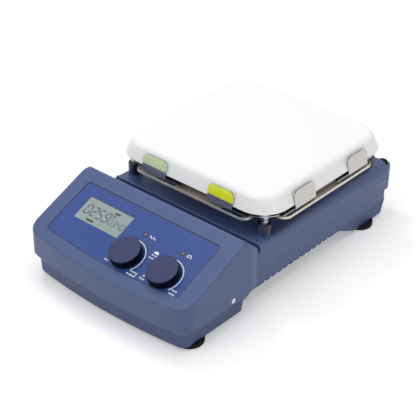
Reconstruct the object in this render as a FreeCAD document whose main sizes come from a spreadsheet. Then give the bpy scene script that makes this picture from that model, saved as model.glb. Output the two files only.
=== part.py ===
"""Hotplate stirrer: a blue cast housing with a sloped control box in front and a white heated plate
that stands on posts over the rear deck. Millimetres, +Z up, +X to the right of someone who faces the
controls, +Y to the rear. The origin is on the table, under the middle of the outline."""
import FreeCAD, Part
import math
import os
import re

import Sketcher

V = FreeCAD.Vector
doc = FreeCAD.newDocument("hotplate_stirrer")

# Driving dimensions: name, value or the sum it follows from, and what it is.
DIMENSIONS = [
    ("front_y", -180, "front of the control box on its centre line"),
    ("box_half_width", 107, "half the width of the control box"),
    ("box_bow", 700, "plan radius of the bowed front"),
    ("box_corner", 16, "plan radius of the front corners"),
    ("box_back_bend", 40, "plan radius where the box's sides turn in behind the panel"),
    ("box_back_y", "front_y + 137", "back of the control box's outline"),
    ("front_edge_height", 51.2, "top of the front wall"),
    ("slope_angle", 23.2, "slope of the control panel in degrees"),
    ("slope_run", 92.6, "length of the slope seen from above"),
    ("back_foot_y", "front_y + 119.5", "foot of the slope behind the panel"),
    ("back_foot_height", "deck_height + 0.5", "height of that foot"),
    ("back_round", 10, "rounding at that foot"),
    ("crest_round", 7.5, "rounding of the crest's two ends"),
    ("bezel_round", 3, "rounding of the bezel's edge"),
    ("wall", 3, "thickness of the cast walls"),
    ("parting_height", 20, "where the housing meets the base"),
    ("band_height", 28, "lower edge of the upright band round the box"),
    ("band_step", 5.5, "inward step under that band"),
    ("deck_height", 66.5, "top of the deck"),
    ("deck_front_y", "front_y + 124.5", "front of the deck"),
    ("deck_half_width", "box_half_width - 7.5", "half the width of the deck's side walls"),
    ("deck_lean", 0.8, "how far those walls lean in at the top"),
    ("skirt_half_width", "deck_half_width - 2", "half the width below the side crease"),
    ("crease_low", 41, "foot of the side crease"),
    ("crease_high", 45.5, "top of the side crease"),
    ("crease_round", 1.2, "softening of the crease"),
    ("shoulder_front", 3, "shoulder radius at the front of the deck"),
    ("shoulder_rear", 13, "shoulder radius at the rear of the deck"),
    ("rear_y", 164, "rear wall"),
    ("rear_corner", 4, "plan radius of the rear corners"),
    ("rear_round", 3, "rounding of the deck's rear edge"),
    ("boss_round", 2, "rounding of the rod boss's ends"),
    ("deck_overlap", 10, "how far the rear section runs into the control box"),
    ("cut_margin", 10, "how far a cutting shape runs past what it cuts"),
    ("bite", 1, "how far a drilling shape starts before its surface"),
    ("edge_round", 4, "rounding of the crest behind the panel"),
    ("channel_height", "deck_height - 7.5", "floor of the channel in front of the deck"),
    ("lip_width", 3, "width of the raised lip on the deck's front edge"),
    ("lip_rise", 1, "height of that lip over the deck"),
    ("gap", 0.3, "clearance round a piece that is let in"),
    ("running", 0.05, "radial clearance of a turning or sliding shaft"),
    ("panel_inset", 16.3, "how far the panel's front corners lie behind the front"),
    ("panel_half_width", "box_half_width - 18.2", "half the width of the panel's recess"),
    ("panel_length", 67.4, "length of the recess up the slope"),
    ("panel_bow", 740, "radius of the recess's bowed front edge"),
    ("panel_sag", 4.8, "how far that edge bows forward in the middle"),
    ("panel_corner", 4, "corner radius of the recess"),
    ("panel_depth", 0.8, "depth of the recess"),
    ("overlay_thickness", 0.5, "thickness of the panel's overlay"),
    ("window_x", "heat_x - window_width / 2 - 23.9", "middle of the display window"),
    ("window_up", 39.6, "middle of the window up the slope"),
    ("window_width", "2 * panel_half_width - 118.4", "width of the window"),
    ("window_length", 28, "height of the window up the slope"),
    ("heat_x", "stir_x - 48.7", "heat knob and its lamp, from the middle"),
    ("stir_x", "panel_half_width - 28.8", "stir knob and its lamp, from the middle"),
    ("knob_up", 15, "knob centres up the slope"),
    ("lamp_up", 43, "lamp centres up the slope"),
    ("knob_radius", 16.8, "knob radius at its foot"),
    ("knob_taper", 0.5, "how much smaller a knob is at its top"),
    ("knob_lift", 0.9, "foot of a knob over the bezel's plane"),
    ("knob_top", 9.2, "top of a knob over that plane"),
    ("knob_round", 1.5, "rounding of a knob's top edge"),
    ("push_travel", 0.8, "how far a knob pushes in"),
    ("shaft_radius", 3, "encoder shaft"),
    ("shaft_top", 7, "end of the shaft inside the knob"),
    ("bushing_radius", 4, "encoder's bushing"),
    ("encoder_side", 13, "side of an encoder's case"),
    ("encoder_height", 6.5, "height of that case over its board"),
    ("board_depth", 15, "top of the control board under the bezel's plane"),
    ("board_thickness", 1.6, "thickness of a circuit board"),
    ("board_half_width", "panel_half_width - 4.8", "half the width of the control board"),
    ("board_length", 62, "length of the control board up the slope"),
    ("lamp_radius", 2.4, "radius of an indicator lamp"),
    ("glass_thickness", 3, "thickness of the display's glass"),
    ("base_height", 3.8, "underside of the base"),
    ("base_floor", 3, "thickness of the base's floor"),
    ("base_taper", 1, "how far the lower band leans in down to its foot"),
    ("base_back_y", "front_y + 99", "back of the front tub"),
    ("seam", 0.3, "how far the base stands back at the parting line"),
    ("pod_front_y", 80, "where a rear leg starts to come down"),
    ("pod_run", 28, "length of the leg's front slope"),
    ("pod_rear_inset", 6, "how far the leg's foot stands in from the rear wall"),
    ("pod_inner_x", 50, "inner side of a rear leg"),
    ("notch_count", 12, "vent notches along each side"),
    ("notch_pitch", 9.5, "pitch of the notches"),
    ("notch_width", 3, "width of a notch"),
    ("notch_start_y", -45, "first notch"),
    ("vent_count", 9, "vent slots in the underside"),
    ("vent_pitch", 12, "pitch of the vent slots"),
    ("vent_length", 60, "length of a vent slot"),
    ("foot_x", "box_half_width - 18", "feet from the middle"),
    ("front_foot_y", "front_y + 33", "front feet"),
    ("rear_foot_y", "rear_y - 35", "rear feet"),
    ("foot_radius", 15, "radius of a rubber foot"),
    ("plate_y", "(deck_front_y + rear_y) / 2 - 3.25", "middle of the heated plate"),
    ("plate_top", "plate_foot + 18", "top of the plate"),
    ("plate_foot", "clip_height + 3.7", "lower edge of the plate's skirt"),
    ("plate_foot_half", "box_half_width - 3.8", "half the side of the skirt at its foot"),
    ("plate_foot_corner", 31, "corner radius there"),
    ("plate_taper", 23.2, "lean of the plate's skirt in degrees"),
    ("plate_round", 9, "rounding of the top edge"),
    ("plate_skin", 3.5, "thickness of the plate's skirt"),
    ("plate_crown", 4.5, "thickness of the plate's top"),
    ("core_half", "plate_foot_half - 23.2", "half the side of the aluminium core"),
    ("core_thickness", 9, "thickness of the core"),
    ("element_thickness", 1.6, "thickness of the heating element"),
    ("post_offset", "plate_foot_half - 15.7", "posts from the plate's middle, each way"),
    ("post_radius", 4, "radius of a post"),
    ("post_stud", 2, "radius of its threaded ends"),
    ("post_seat", 13, "height of the seat under a post"),
    ("tray_top", "deck_height + 18.5", "top of the stainless tray"),
    ("sheet_thickness", 0.8, "thickness of the stainless sheets"),
    ("tray_half", "plate_foot_half - 11.2", "half the side of the tray's middle"),
    ("tray_reach", "plate_foot_half + 2.8", "outer edge of the tray's four strips"),
    ("tray_strip_far", 72, "end of a strip away from the open corner"),
    ("tray_strip_near", 78, "end of a strip towards the open corner"),
    ("tray_lip", 1.6, "height of the turned-up edge"),
    ("strip_round", 10, "corner radius of the strips' outer ends"),
    ("slot_length", 26, "length of a slot in the strips"),
    ("slot_width", 11, "width of a slot in the strips"),
    ("clip_height", "tray_top + 5.3", "top of the clip frame"),
    ("clip_half", "plate_foot_half - 2.7", "half the side of the clip frame"),
    ("clip_corner", 28, "corner radius of the clip frame"),
    ("tab_offset", 44.1, "tab centres from the middle of a side"),
    ("tab_width", 32.7, "width of a tab"),
    ("tab_plane", "plate_foot_half + 1.8", "outer face of a tab at its foot"),
    ("tab_height", 19, "height of a tab over the frame"),
    ("low_tab_height", 10, "height of a tab on the left and at the rear"),
    ("tab_lean", 9, "lean of a tab towards the plate in degrees"),
    ("tab_corner", 6, "corner radius of a tab"),
    ("film_thickness", 0.2, "thickness of the coloured films"),
    ("film_share", 0.6, "share of a front tab that its film covers"),
    ("lead_y", "core_half - 10", "leads behind the plate's middle"),
    ("lead_radius", 1.6, "radius of a heater lead"),
    ("lead_spacing", 5.5, "leads from the middle"),
    ("probe_radius", 2.5, "radius of the temperature probe"),
    ("grommet_radius", 10, "hole for the grommet in the deck"),
    ("cover_radius", "plate_foot_half - 55.2", "inner radius of the rotor's cover"),
    ("cover_flange", "cover_radius + 9", "radius of the cover's flange"),
    ("cover_rise", 9, "height of the cover over the deck"),
    ("motor_radius", 30, "radius of the motor"),
    ("motor_foot", "parting_height + 4", "underside of the motor"),
    ("bracket_height", "deck_height - 19.5", "underside of the motor's bracket"),
    ("bracket_half", 52, "half the side of the bracket"),
    ("bracket_thickness", 3, "thickness of the bracket"),
    ("bracket_hole", 45, "bracket screws from the middle, each way"),
    ("holder_length", "2 * cover_radius - 8", "length of the magnet holder"),
    ("holder_width", 22, "width of the magnet holder"),
    ("holder_foot", "deck_height - 5.5", "underside of the holder's bar"),
    ("magnet_radius", 10, "radius of a magnet"),
    ("magnet_height", 6, "height of a magnet"),
    ("magnet_offset", "cover_radius - 16", "magnets from the axis"),
    ("rod_x", "skirt_half_width - 12.1", "support rod's socket from the middle"),
    ("rod_y", "rear_y + 7", "support rod's socket"),
    ("rod_boss_radius", 9, "radius of the socket's boss"),
    ("rod_boss_foot", 26.5, "underside of the boss"),
    ("rod_boss_top", "deck_height - 9.5", "top of the boss"),
    ("rod_radius", 5.05, "radius of the socket"),
    ("rod_depth", "rod_boss_top - rod_boss_foot - 6.5", "depth of the socket"),
    ("plug_radius", 6.5, "radius of the plug's dome"),
    ("plug_rise", 3.6, "height of the dome"),
    ("plug_shank", 7, "length of the plug's shank"),
    ("plug_shank_radius", 5.5, "radius of that shank"),
    ("power_y", "plate_y + 60", "middle of the power board"),
    ("power_width", 120, "width of the power board"),
    ("power_length", 48, "length of the power board"),
    ("power_height", 26, "underside of the power board"),
    ("inlet_x", -52, "mains inlet"),
    ("inlet_width", 27.6, "width of the inlet's body"),
    ("inlet_height", "deck_height - 32.9", "height of the inlet's body"),
    ("inlet_depth", 26, "depth of the inlet's body"),
    ("rear_middle", "(parting_height + deck_height) / 2 - 1.25", "height of the rear fittings' middle"),
    ("flange_rim", 2.2, "how far a fitting's flange covers its cut-out"),
    ("flange_thickness", 2, "thickness of a fitting's flange"),
    ("drawer_width", 22, "width of the fuse drawer"),
    ("drawer_height", 8, "height of the fuse drawer"),
    ("drawer_depth", 24, "depth of the fuse drawer"),
    ("switch_x", -14, "power switch"),
    ("switch_width", 15, "width of the switch's body"),
    ("switch_height", 22, "height of the switch's body"),
    ("switch_depth", 19, "depth of the switch's body"),
    ("rocker_radius", 8, "radius of the rocker's ends"),
    ("rocker_width", 10, "width of the rocker"),
    ("rocker_tilt", 12, "tilt of the rocker each way in degrees"),
    ("rocker_pivot", 2.2, "depth of the rocker's pivot inside the rear wall"),
    ("trunnion_radius", 1.2, "radius of the rocker's trunnions"),
    ("socket_x", 18, "sensor socket"),
    ("socket_radius", 7.5, "radius of the sensor socket"),
    ("port_x", 47, "serial port"),
    ("side_screw_y", "front_y + 76.5", "side screws"),
    ("side_screw_z", 31, "height of the side screws"),
    ("screw_radius", 1.5, "radius of the case screws"),
    ("screw_head", 2.8, "radius of their heads"),
    ("base_post_x", "skirt_half_width - 17.5", "posts for the base screws from the middle"),
    ("base_post_front", "front_y + 114", "front pair of those posts"),
    ("base_post_rear", 75, "rear pair of those posts"),
    ("base_post_radius", 4.5, "radius of those posts"),
    ("window_corner", 1.5, "corner radius of the window"),
    ("board_edge", 5, "screws of a board from its edges"),
    ("screw_depth", 6, "how deep a case screw goes"),
    ("screw_head_height", 1.8, "height of a screw's head"),
    ("screw_recess", 1.8, "depth of the side screws' recess"),
    ("boss_radius", 4, "radius of a screw boss"),
    ("seat_radius", 7, "radius of the seat under a post"),
    ("cover_hole", "cover_radius - 10.2", "cover screws from the plate's middle, each way"),
    ("rotor_opening_radius", "cover_radius + 2", "radius of the opening over the rotor"),
    ("port_width", 20, "width of the serial port's body"),
    ("port_height", 11, "height of the serial port's body"),
    ("lug_outer", "box_half_width - 9", "outer face of the lugs for the side screws"),
    ("lug_thickness", 4, "thickness of those lugs"),
    ("lug_width", 14, "width of those lugs"),
    ("lug_root", 6, "how far they reach down into the tub"),
    ("lug_rise", 16, "how far they stand over the parting line"),
    ("base_back_lean", 3, "how far the tub's back leans in down to its foot"),
    ("base_plate", 2.5, "thickness of the base's plate"),
    ("notch_depth", 5, "how far the notches reach in"),
    ("leg_round", 2.5, "rounding of the tub's and the legs' lower edges"),
    ("foot_boss", 12, "height of the boss over a foot"),
    ("foot_seat", 1.2, "depth of the recess for a foot"),
    ("foot_screw", 2, "radius of a foot's screw"),
    ("foot_screw_head", 4, "radius of its head"),
    ("foot_round", 1.5, "rounding of a foot's lower edge"),
    ("foot_pocket", 3, "depth of the pocket for the screw's head"),
    ("glass_margin", 2, "how far the display's glass reaches past the window"),
    ("bushing_depth", 0.9, "end of a bushing under the bezel's plane"),
    ("encoder_lid", 1.4, "thickness of an encoder's lid"),
    ("plunger_radius", 4.5, "radius of a push plunger"),
    ("plunger_thickness", 1.2, "thickness of that plunger"),
    ("plunger_floor", 1, "thickness of the floor under it"),
    ("collar_thickness", 0.8, "thickness of the shaft's collar"),
    ("lamp_flange", 3, "radius of a lamp's rim on the board"),
    ("lamp_rim", 1.5, "height of that rim"),
    ("lamp_top", 0.2, "top of a lamp over the bezel's plane"),
    ("lamp_dome", 1.2, "rounding of a lamp's top"),
    ("side_head_height", 1.4, "height of a side screw's head"),
    ("plate_boss", 6, "radius of the bosses under the plate"),
    ("stud_length", 8, "how far a post's stud reaches into the plate"),
    ("core_corner", 20, "corner radius of the core"),
    ("core_margin", 4, "how far the heater stands in from the core"),
    ("probe_depth", 5, "how deep the probe goes into the core"),
    ("nut_radius", 4, "radius over the corners of a post's nut"),
    ("nut_height", 3.2, "height of that nut"),
    ("nut_seat", 6, "depth of the boss under the deck that it bears on"),
    ("nut_boss_radius", 6.4, "radius of that boss"),
    ("terminal_top", 38, "top of the terminal block"),
    ("terminal_width", 20, "width of the terminal block"),
    ("terminal_length", 12, "length of the terminal block"),
    ("grommet_lip", 2, "thickness of the grommet's flanges"),
    ("grommet_flange", 12.5, "radius of those flanges"),
    ("grommet_round", 1, "rounding of the grommet"),
    ("tray_corner", 24, "corner radius of the tray's middle"),
    ("ear_length", 19, "length of the flange beside a tab"),
    ("cover_round", 4, "rounding inside the cover"),
    ("cover_foot_round", 1, "rounding between the cover and its flange"),
    ("bracket_corner", 8, "corner radius of the bracket"),
    ("bearing_radius", 8, "radius of the motor's bearing"),
    ("motor_round", 3, "rounding of the motor's lower edge"),
    ("hub_gap", 1, "gap between the bracket and the holder's hub"),
    ("hub_radius", 6, "radius of the holder's hub"),
    ("transformer_x", -34, "transformer on the power board"),
    ("transformer_width", 34, "width of the transformer"),
    ("transformer_length", 28, "length of its core"),
    ("transformer_height", "bracket_height - 30", "height of the transformer"),
    ("coil_share", 0.6, "width of its coil as a share of its core"),
    ("relay_x", 30, "relay and capacitors on the power board"),
    ("relay_y", 11, "relay and capacitors from the board's middle"),
    ("relay_width", 19, "width of the relay"),
    ("relay_length", 15, "length of the relay"),
    ("relay_height", "transformer_height - 2", "height of the relay"),
    ("capacitor_pitch", 18, "distance between the capacitors"),
    ("capacitor_radius", 6, "radius of a capacitor"),
    ("capacitor_height", "transformer_height - 1", "height of a capacitor"),
    ("plug_width", 24, "width of the inlet's socket"),
    ("plug_height", "inlet_height / 2 - 0.3", "height of the inlet's socket"),
    ("plug_depth", 17, "depth of the inlet's socket"),
    ("plug_low", "rear_middle - inlet_height / 2 + 2.8", "lower edge of the inlet's socket"),
    ("plug_bevel", 4, "bevel of its lower corners"),
    ("pin_width", 2, "width of a pin"),
    ("pin_height", 4, "height of a pin"),
    ("pin_length", 14, "length of a pin"),
    ("pin_high", 0.66, "middle pin's height as a share of the socket's"),
    ("pin_low", 0.38, "outer pins' height as a share of the socket's"),
    ("pin_pitch", 7, "outer pins from the middle one"),
    ("drawer_z", "rear_middle + inlet_height / 2 - 10.3", "underside of the fuse drawer"),
    ("grip_depth", 1.5, "depth of the drawer's grip"),
    ("grip_share", 0.4, "height of that grip as a share of the drawer's"),
    ("fuse_radius", 2.6, "radius of a fuse"),
    ("fuse_length", 20, "length of a fuse"),
    ("fuse_pitch", 10, "distance between the fuses"),
    ("fuse_margin", 1.5, "end wall behind the fuses"),
    ("trunnion_length", 1.2, "length of a trunnion"),
    ("rocker_low", -4, "inner face of the rocker from its pivot"),
    ("rocker_high", 5, "outer face of the rocker from its pivot"),
    ("socket_depth", 14, "depth of the sensor socket"),
    ("socket_wall", 1.8, "wall of the sensor socket"),
    ("socket_room_depth", 7, "depth of its opening"),
    ("contact_radius", 0.6, "radius of a contact"),
    ("contact_ring", 0.4, "ring of the contacts as a share of the socket's radius"),
    ("port_depth", 10, "depth of the serial port's body"),
    ("port_flange_width", 31, "width of the serial port's flange"),
    ("port_flange_height", 12.5, "height of that flange"),
    ("port_flange_thickness", 1, "thickness of that flange"),
    ("port_shell_width", 17, "width of the serial port's shell"),
    ("port_shell_height", 8.6, "height of that shell"),
    ("port_shell_round", 2.4, "corner radius of that shell"),
    ("port_reach", 5.5, "how far the shell stands out of the wall"),
    ("jack_radius", 2.4, "radius of the serial port's jack screws"),
    ("jack_offset", 12.5, "jack screws from the port's middle"),
]
NAMES = {name for name, number, meaning in DIMENSIONS}
sheet = doc.addObject("Spreadsheet::Sheet", "sizes")
for row, (name, number, meaning) in enumerate(DIMENSIONS, 1):
    sheet.setAlias("A%d" % row, name)
    sheet.set("B%d" % row, meaning)
for row, (name, number, meaning) in enumerate(DIMENSIONS, 1):
    sheet.set("A%d" % row, "=" + number if isinstance(number, str) else str(number))
doc.recompute()


def formula(text):
    """The sum with each name looked up in the sheet."""
    return re.sub(r"[a-z_]\w*", lambda word: "sizes." * (word.group() in NAMES) + word.group(), text)


def value(text):
    """What the sum comes to."""
    return float(sheet.evalExpression(formula(text)))


def bind(item, prop, text):
    """Ties a property to a sum over the sheet."""
    item.setExpression(prop, formula(text))


def sketch(body, name, role, level="0"):
    """An empty sketch on the body's own plane of that role, moved along its normal by level."""
    item = body.newObject("Sketcher::SketchObject", name)
    plane = next(feature for feature in body.Origin.OriginFeatures if feature.Role == role)
    item.AttachmentSupport = [(plane, "")]
    item.MapMode = "FlatFace"
    bind(item, "AttachmentOffset.Base.z", level)
    return item


def dimension(item, kind, *ends, text):
    """One driving dimension of a sketch, tied to a sum over the sheet."""
    index = item.addConstraint(Sketcher.Constraint(kind, *ends, value(text)))
    item.renameConstraint(index, "size%d" % index)
    bind(item, "Constraints.size%d" % index, text)


def pin(item, geometry, end, u, v):
    """Holds a point of a sketch at the sums u and v."""
    for kind, text, axis in (("DistanceX", u, -2), ("DistanceY", v, -1)):
        if text == "0":
            item.addConstraint(Sketcher.Constraint("PointOnObject", geometry, end, axis))
        else:
            dimension(item, kind, -1, 1, geometry, end, text=text)


def outline(item, corners):
    """A closed run of straight edges, counter-clockwise, through corners (u, v) or (u, v, radius)."""
    points = [V(value(corner[0]), value(corner[1]), 0) for corner in corners]
    radii = [value(corner[2]) if len(corner) > 2 else 0 for corner in corners]
    count = len(corners)
    arrive, leave, bends = [], [], []
    for index, point in enumerate(points):
        before = (points[index - 1] - point).normalize()
        after = (points[(index + 1) % count] - point).normalize()
        half = before.getAngle(after) / 2
        reach = radii[index] / math.tan(half)
        arrive.append(point + before * reach)
        leave.append(point + after * reach)
        middle = (before + after).normalize() * (radii[index] / math.sin(half))
        bends.append((point + middle, before.cross(after).z < 0))
    for index in range(count):
        item.addGeometry(Part.LineSegment(leave[index], arrive[(index + 1) % count]), False)
    for index, corner in enumerate(corners):
        before, after = (index - 1) % count, index
        if not radii[index]:
            item.addConstraint(Sketcher.Constraint("Coincident", before, 2, after, 1))
            pin(item, after, 1, corner[0], corner[1])
            continue
        centre, left_turn = bends[index]
        ends = (arrive[index], leave[index]) if left_turn else (leave[index], arrive[index])
        angles = [math.atan2(end.y - centre.y, end.x - centre.x) for end in ends]
        circle = Part.Circle(centre, V(0, 0, 1), radii[index])
        bend = item.addGeometry(Part.ArcOfCircle(circle, angles[0], angles[1]), False)
        first, last = (1, 2) if left_turn else (2, 1)
        item.addConstraint(Sketcher.Constraint("Tangent", before, 2, bend, first))
        item.addConstraint(Sketcher.Constraint("Tangent", after, 1, bend, last))
        dimension(item, "Radius", bend, text=corner[2])
        point = item.addGeometry(Part.Point(points[index]), True)
        item.addConstraint(Sketcher.Constraint("PointOnObject", point, 1, before))
        item.addConstraint(Sketcher.Constraint("PointOnObject", point, 1, after))
        pin(item, point, 1, corner[0], corner[1])


def bowed_outline(item, half, front, bow, corner, back, back_corner, inset="0"):
    """A closed outline with a bowed front and rounded corners, drawn in from its edges by inset."""
    width, radius, small = value(half), value(bow), value(corner)
    low, high, bend, step = value(front), value(back), value(back_corner), value(inset)
    middle = low + radius
    reach = radius - small
    side = middle - math.sqrt(reach ** 2 - (width - small) ** 2)
    turn = math.atan2(side - middle, width - small)
    up = V(0, 0, 1)

    def arc(x, y, size, start, end):
        return item.addGeometry(Part.ArcOfCircle(Part.Circle(V(x, y, 0), up, size), start, end), False)

    def line(x0, y0, x1, y1):
        return item.addGeometry(Part.LineSegment(V(x0, y0, 0), V(x1, y1, 0)), False)

    half_turn = math.pi
    front_arc = arc(0, middle, radius - step, half_turn - turn - 2 * half_turn, turn)
    right_corner = arc(width - small, side, small - step, turn, 0)
    right_side = line(width - step, side, width - step, high - bend)
    right_back = arc(width - bend, high - bend, bend - step, 0, half_turn / 2)
    back_line = line(width - bend, high - step, bend - width, high - step)
    left_back = arc(bend - width, high - bend, bend - step, half_turn / 2, half_turn)
    left_side = line(step - width, high - bend, step - width, side)
    left_corner = arc(small - width, side, small - step, half_turn, half_turn - turn)
    run = [front_arc, right_corner, right_side, right_back, back_line, left_back, left_side, left_corner]
    for this, following in zip(run, run[1:] + run[:1]):
        item.addConstraint(Sketcher.Constraint("Tangent", this, 2, following, 1))
    item.addConstraint(Sketcher.Constraint("Horizontal", back_line))
    item.addConstraint(Sketcher.Constraint("Vertical", right_side))
    item.addConstraint(Sketcher.Constraint("Vertical", left_side))
    item.addConstraint(Sketcher.Constraint("Equal", right_corner, left_corner))
    item.addConstraint(Sketcher.Constraint("Equal", right_back, left_back))
    dimension(item, "Radius", front_arc, text="%s - (%s)" % (bow, inset))
    dimension(item, "Radius", right_corner, text="%s - (%s)" % (corner, inset))
    dimension(item, "Radius", right_back, text="%s - (%s)" % (back_corner, inset))
    pin(item, front_arc, 3, "0", "%s + %s" % (front, bow))
    dimension(item, "DistanceX", -1, 1, right_side, 1, text="%s - (%s)" % (half, inset))
    dimension(item, "DistanceX", left_side, 1, -1, 1, text="%s - (%s)" % (half, inset))
    dimension(item, "DistanceY", -1, 1, back_line, 1, text="%s - (%s)" % (back, inset))


def box_outline(item, inset="0"):
    """The control box seen from above."""
    bowed_outline(item, "box_half_width", "front_y", "box_bow", "box_corner", "box_back_y",
                  "box_back_bend", inset)


def feature(body, kind, name, profile, length=None, down=False):
    """A sketch-based feature of a body."""
    item = body.newObject("PartDesign::" + kind, name)
    item.Profile = profile
    if length:
        bind(item, "Length", length)
    item.Reversed = down
    return item


def place(item, x="0", y="0", z="0", turn=None, angle="0"):
    """Moves an item to the sums x, y and z, turned by angle about the axis turn."""
    if turn:
        item.Placement = FreeCAD.Placement(V(0, 0, 0), FreeCAD.Rotation(turn, 1))
        bind(item, "Placement.Rotation.Angle", angle)
    for axis, text in zip("xyz", (x, y, z)):
        if text != "0":
            bind(item, "Placement.Base." + axis, text)
    return item


def on_slope(item):
    """Moves an item drawn on the control panel's plane to its place: x across, y up the slope."""
    return place(item, "0", "front_y + panel_inset", "front_edge_height + panel_inset * tan(slope_angle)",
                 turn=V(1, 0, 0), angle="slope_angle")


def block(name, low, size):
    """A box from its lowest corner and its three sizes."""
    item = doc.addObject("Part::Box", name)
    for prop, text in zip(("Length", "Width", "Height"), size):
        bind(item, prop, text)
    return place(item, *low)


def middle_block(name, centre, size):
    """A box from the middle of its underside and its three sizes."""
    low = ("%s - (%s) / 2" % (centre[0], size[0]), "%s - (%s) / 2" % (centre[1], size[1]), centre[2])
    return block(name, low, size)


def drum(name, radius, low, high, x="0", y="0"):
    """An upright cylinder from the height low to the height high."""
    item = doc.addObject("Part::Cylinder", name)
    bind(item, "Radius", radius)
    bind(item, "Height", "(%s) - (%s)" % (high, low))
    return place(item, x, y, low)


def level_drum(name, radius, start, length, turn, angle="90"):
    """A cylinder that lies along another axis, from its start."""
    item = doc.addObject("Part::Cylinder", name)
    bind(item, "Radius", radius)
    bind(item, "Height", length)
    return place(item, *start, turn=turn, angle=angle)


def join(name, *items):
    """One solid of several."""
    item = doc.addObject("Part::MultiFuse", name)
    item.Shapes = list(items)
    item.Refine = True
    return item


def cut(name, base, *tools):
    """The base without the tools."""
    item = doc.addObject("Part::Cut", name)
    item.Base = base
    item.Tool = tools[0] if len(tools) == 1 else join(name + "_tools", *tools)
    item.Refine = True
    return item


def meet(name, first, second):
    """What two solids share."""
    item = doc.addObject("Part::Common", name)
    item.Base = first
    item.Tool = second
    item.Refine = True
    return item


def group(name, *items):
    """Several separate solids as one item."""
    item = doc.addObject("Part::Compound", name)
    item.Links = list(items)
    return item


def pairs(*points):
    """Each place and its mirror image to the left, as sums."""
    return [(sign + x, y) for x, y in points for sign in ("", "-")]


def rectangle(x_low, y_low, x_high, y_high, *radius):
    """The corners of a rectangle, with a corner radius if one is given."""
    return [(x, y) + radius for x, y in
            ((x_low, y_low), (x_high, y_low), (x_high, y_high), (x_low, y_high))]


def rounded_square(half, radius):
    """The corners of a square about the origin."""
    return rectangle("-(%s)" % half, "-(%s)" % half, half, half, radius)


def new_body(name):
    return doc.addObject("PartDesign::Body", name)


def pad(body, name, corners, low, high, role="XY_Plane"):
    """Adds a straight-edged outline between two levels over the plane of that role."""
    item = sketch(body, name + "_outline", role, low)
    outline(item, corners)
    return feature(body, "Pad", name, item, "(%s) - (%s)" % (high, low))


def pocket(body, name, corners, low, high, role="XY_Plane"):
    """Takes a straight-edged outline out between two levels."""
    item = sketch(body, name + "_outline", role, high)
    outline(item, corners)
    return feature(body, "Pocket", name, item, "(%s) - (%s)" % (high, low))


def drill(body, name, circles, low, high, role="XY_Plane"):
    """Takes round holes (x, y, radius) out between two levels."""
    item = sketch(body, name + "_circles", role, high)
    for u, v, radius in circles:
        centre = V(value(u), value(v), 0)
        circle = item.addGeometry(Part.Circle(centre, V(0, 0, 1), value(radius)), False)
        dimension(item, "Radius", circle, text=radius)
        pin(item, circle, 3, u, v)
    return feature(body, "Pocket", name, item, "(%s) - (%s)" % (high, low))


def prism(name, corners, low, high, role="XY_Plane"):
    """A body of one padded outline."""
    body = new_body(name)
    pad(body, name + "_pad", corners, low, high, role)
    return body


def turned(name, corners):
    """A body of revolution about the upright axis, from its half profile (radius, height)."""
    body = new_body(name)
    profile = sketch(body, name + "_profile", "XZ_Plane")
    outline(profile, corners)
    item = body.newObject("PartDesign::Revolution", name + "_turn")
    item.Profile = profile
    item.ReferenceAxis = (profile, ["V_Axis"])
    item.Angle = 360
    return body


NEAR = 0.01
NODES = []


def node(name, item):
    """Names the finished piece."""
    item.Label = name
    NODES.append(item)
    return item


def on_plate(x="0", y="0"):
    """A place measured from the middle of the heated plate."""
    return x, "plate_y + (%s)" % y


EDGE_Y = "(front_y + slope_run)"
EDGE_Z = "(front_edge_height + slope_run * tan(slope_angle))"
BACK_ANGLE = "atan((%s - back_foot_height) / (back_foot_y - %s))" % (EDGE_Z, EDGE_Y)


def box_body(name, inset="0"):
    """The control box's upright walls, with the band's step below; inset draws it in."""
    body = new_body(name)
    foot = sketch(body, name + "_foot", "XY_Plane", "parting_height")
    box_outline(foot, "band_step + %s" % inset)
    brim = sketch(body, name + "_brim", "XY_Plane", "band_height")
    box_outline(brim, inset)
    loft = body.newObject("PartDesign::AdditiveLoft", name + "_band")
    loft.Profile = foot
    loft.Sections = [brim]
    rise = sketch(body, name + "_rise", "XY_Plane", "band_height")
    box_outline(rise, inset)
    feature(body, "Pad", name + "_walls", rise, "%s - band_height + cut_margin" % EDGE_Z)
    slope_drop = "(%s) / cos(slope_angle)" % inset
    back_drop = "(%s) / cos(%s)" % (inset, BACK_ANGLE)
    shift = "(%s - %s) / (tan(slope_angle) + tan(%s))" % (slope_drop, back_drop, BACK_ANGLE)
    top = EDGE_Z + " + 2 * cut_margin"
    pocket(body, name + "_top", [
        ("front_y - cut_margin", "front_edge_height - cut_margin * tan(slope_angle) - " + slope_drop),
        (EDGE_Y + " + " + shift, EDGE_Z + " + (" + shift + ") * tan(slope_angle) - " + slope_drop,
         "edge_round"),
        ("back_foot_y - (%s)" % inset,
         "back_foot_height + (%s) * tan(%s) - %s" % (inset, BACK_ANGLE, back_drop),
         "back_round - (%s)" % inset),
        ("back_foot_y - (%s)" % inset, "channel_height - (%s)" % inset),
        ("box_back_y + cut_margin", "channel_height - (%s)" % inset),
        ("box_back_y + cut_margin", top),
        ("front_y - cut_margin", top),
    ], "-box_half_width - cut_margin", "box_half_width + cut_margin", "YZ_Plane")
    return body


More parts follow.
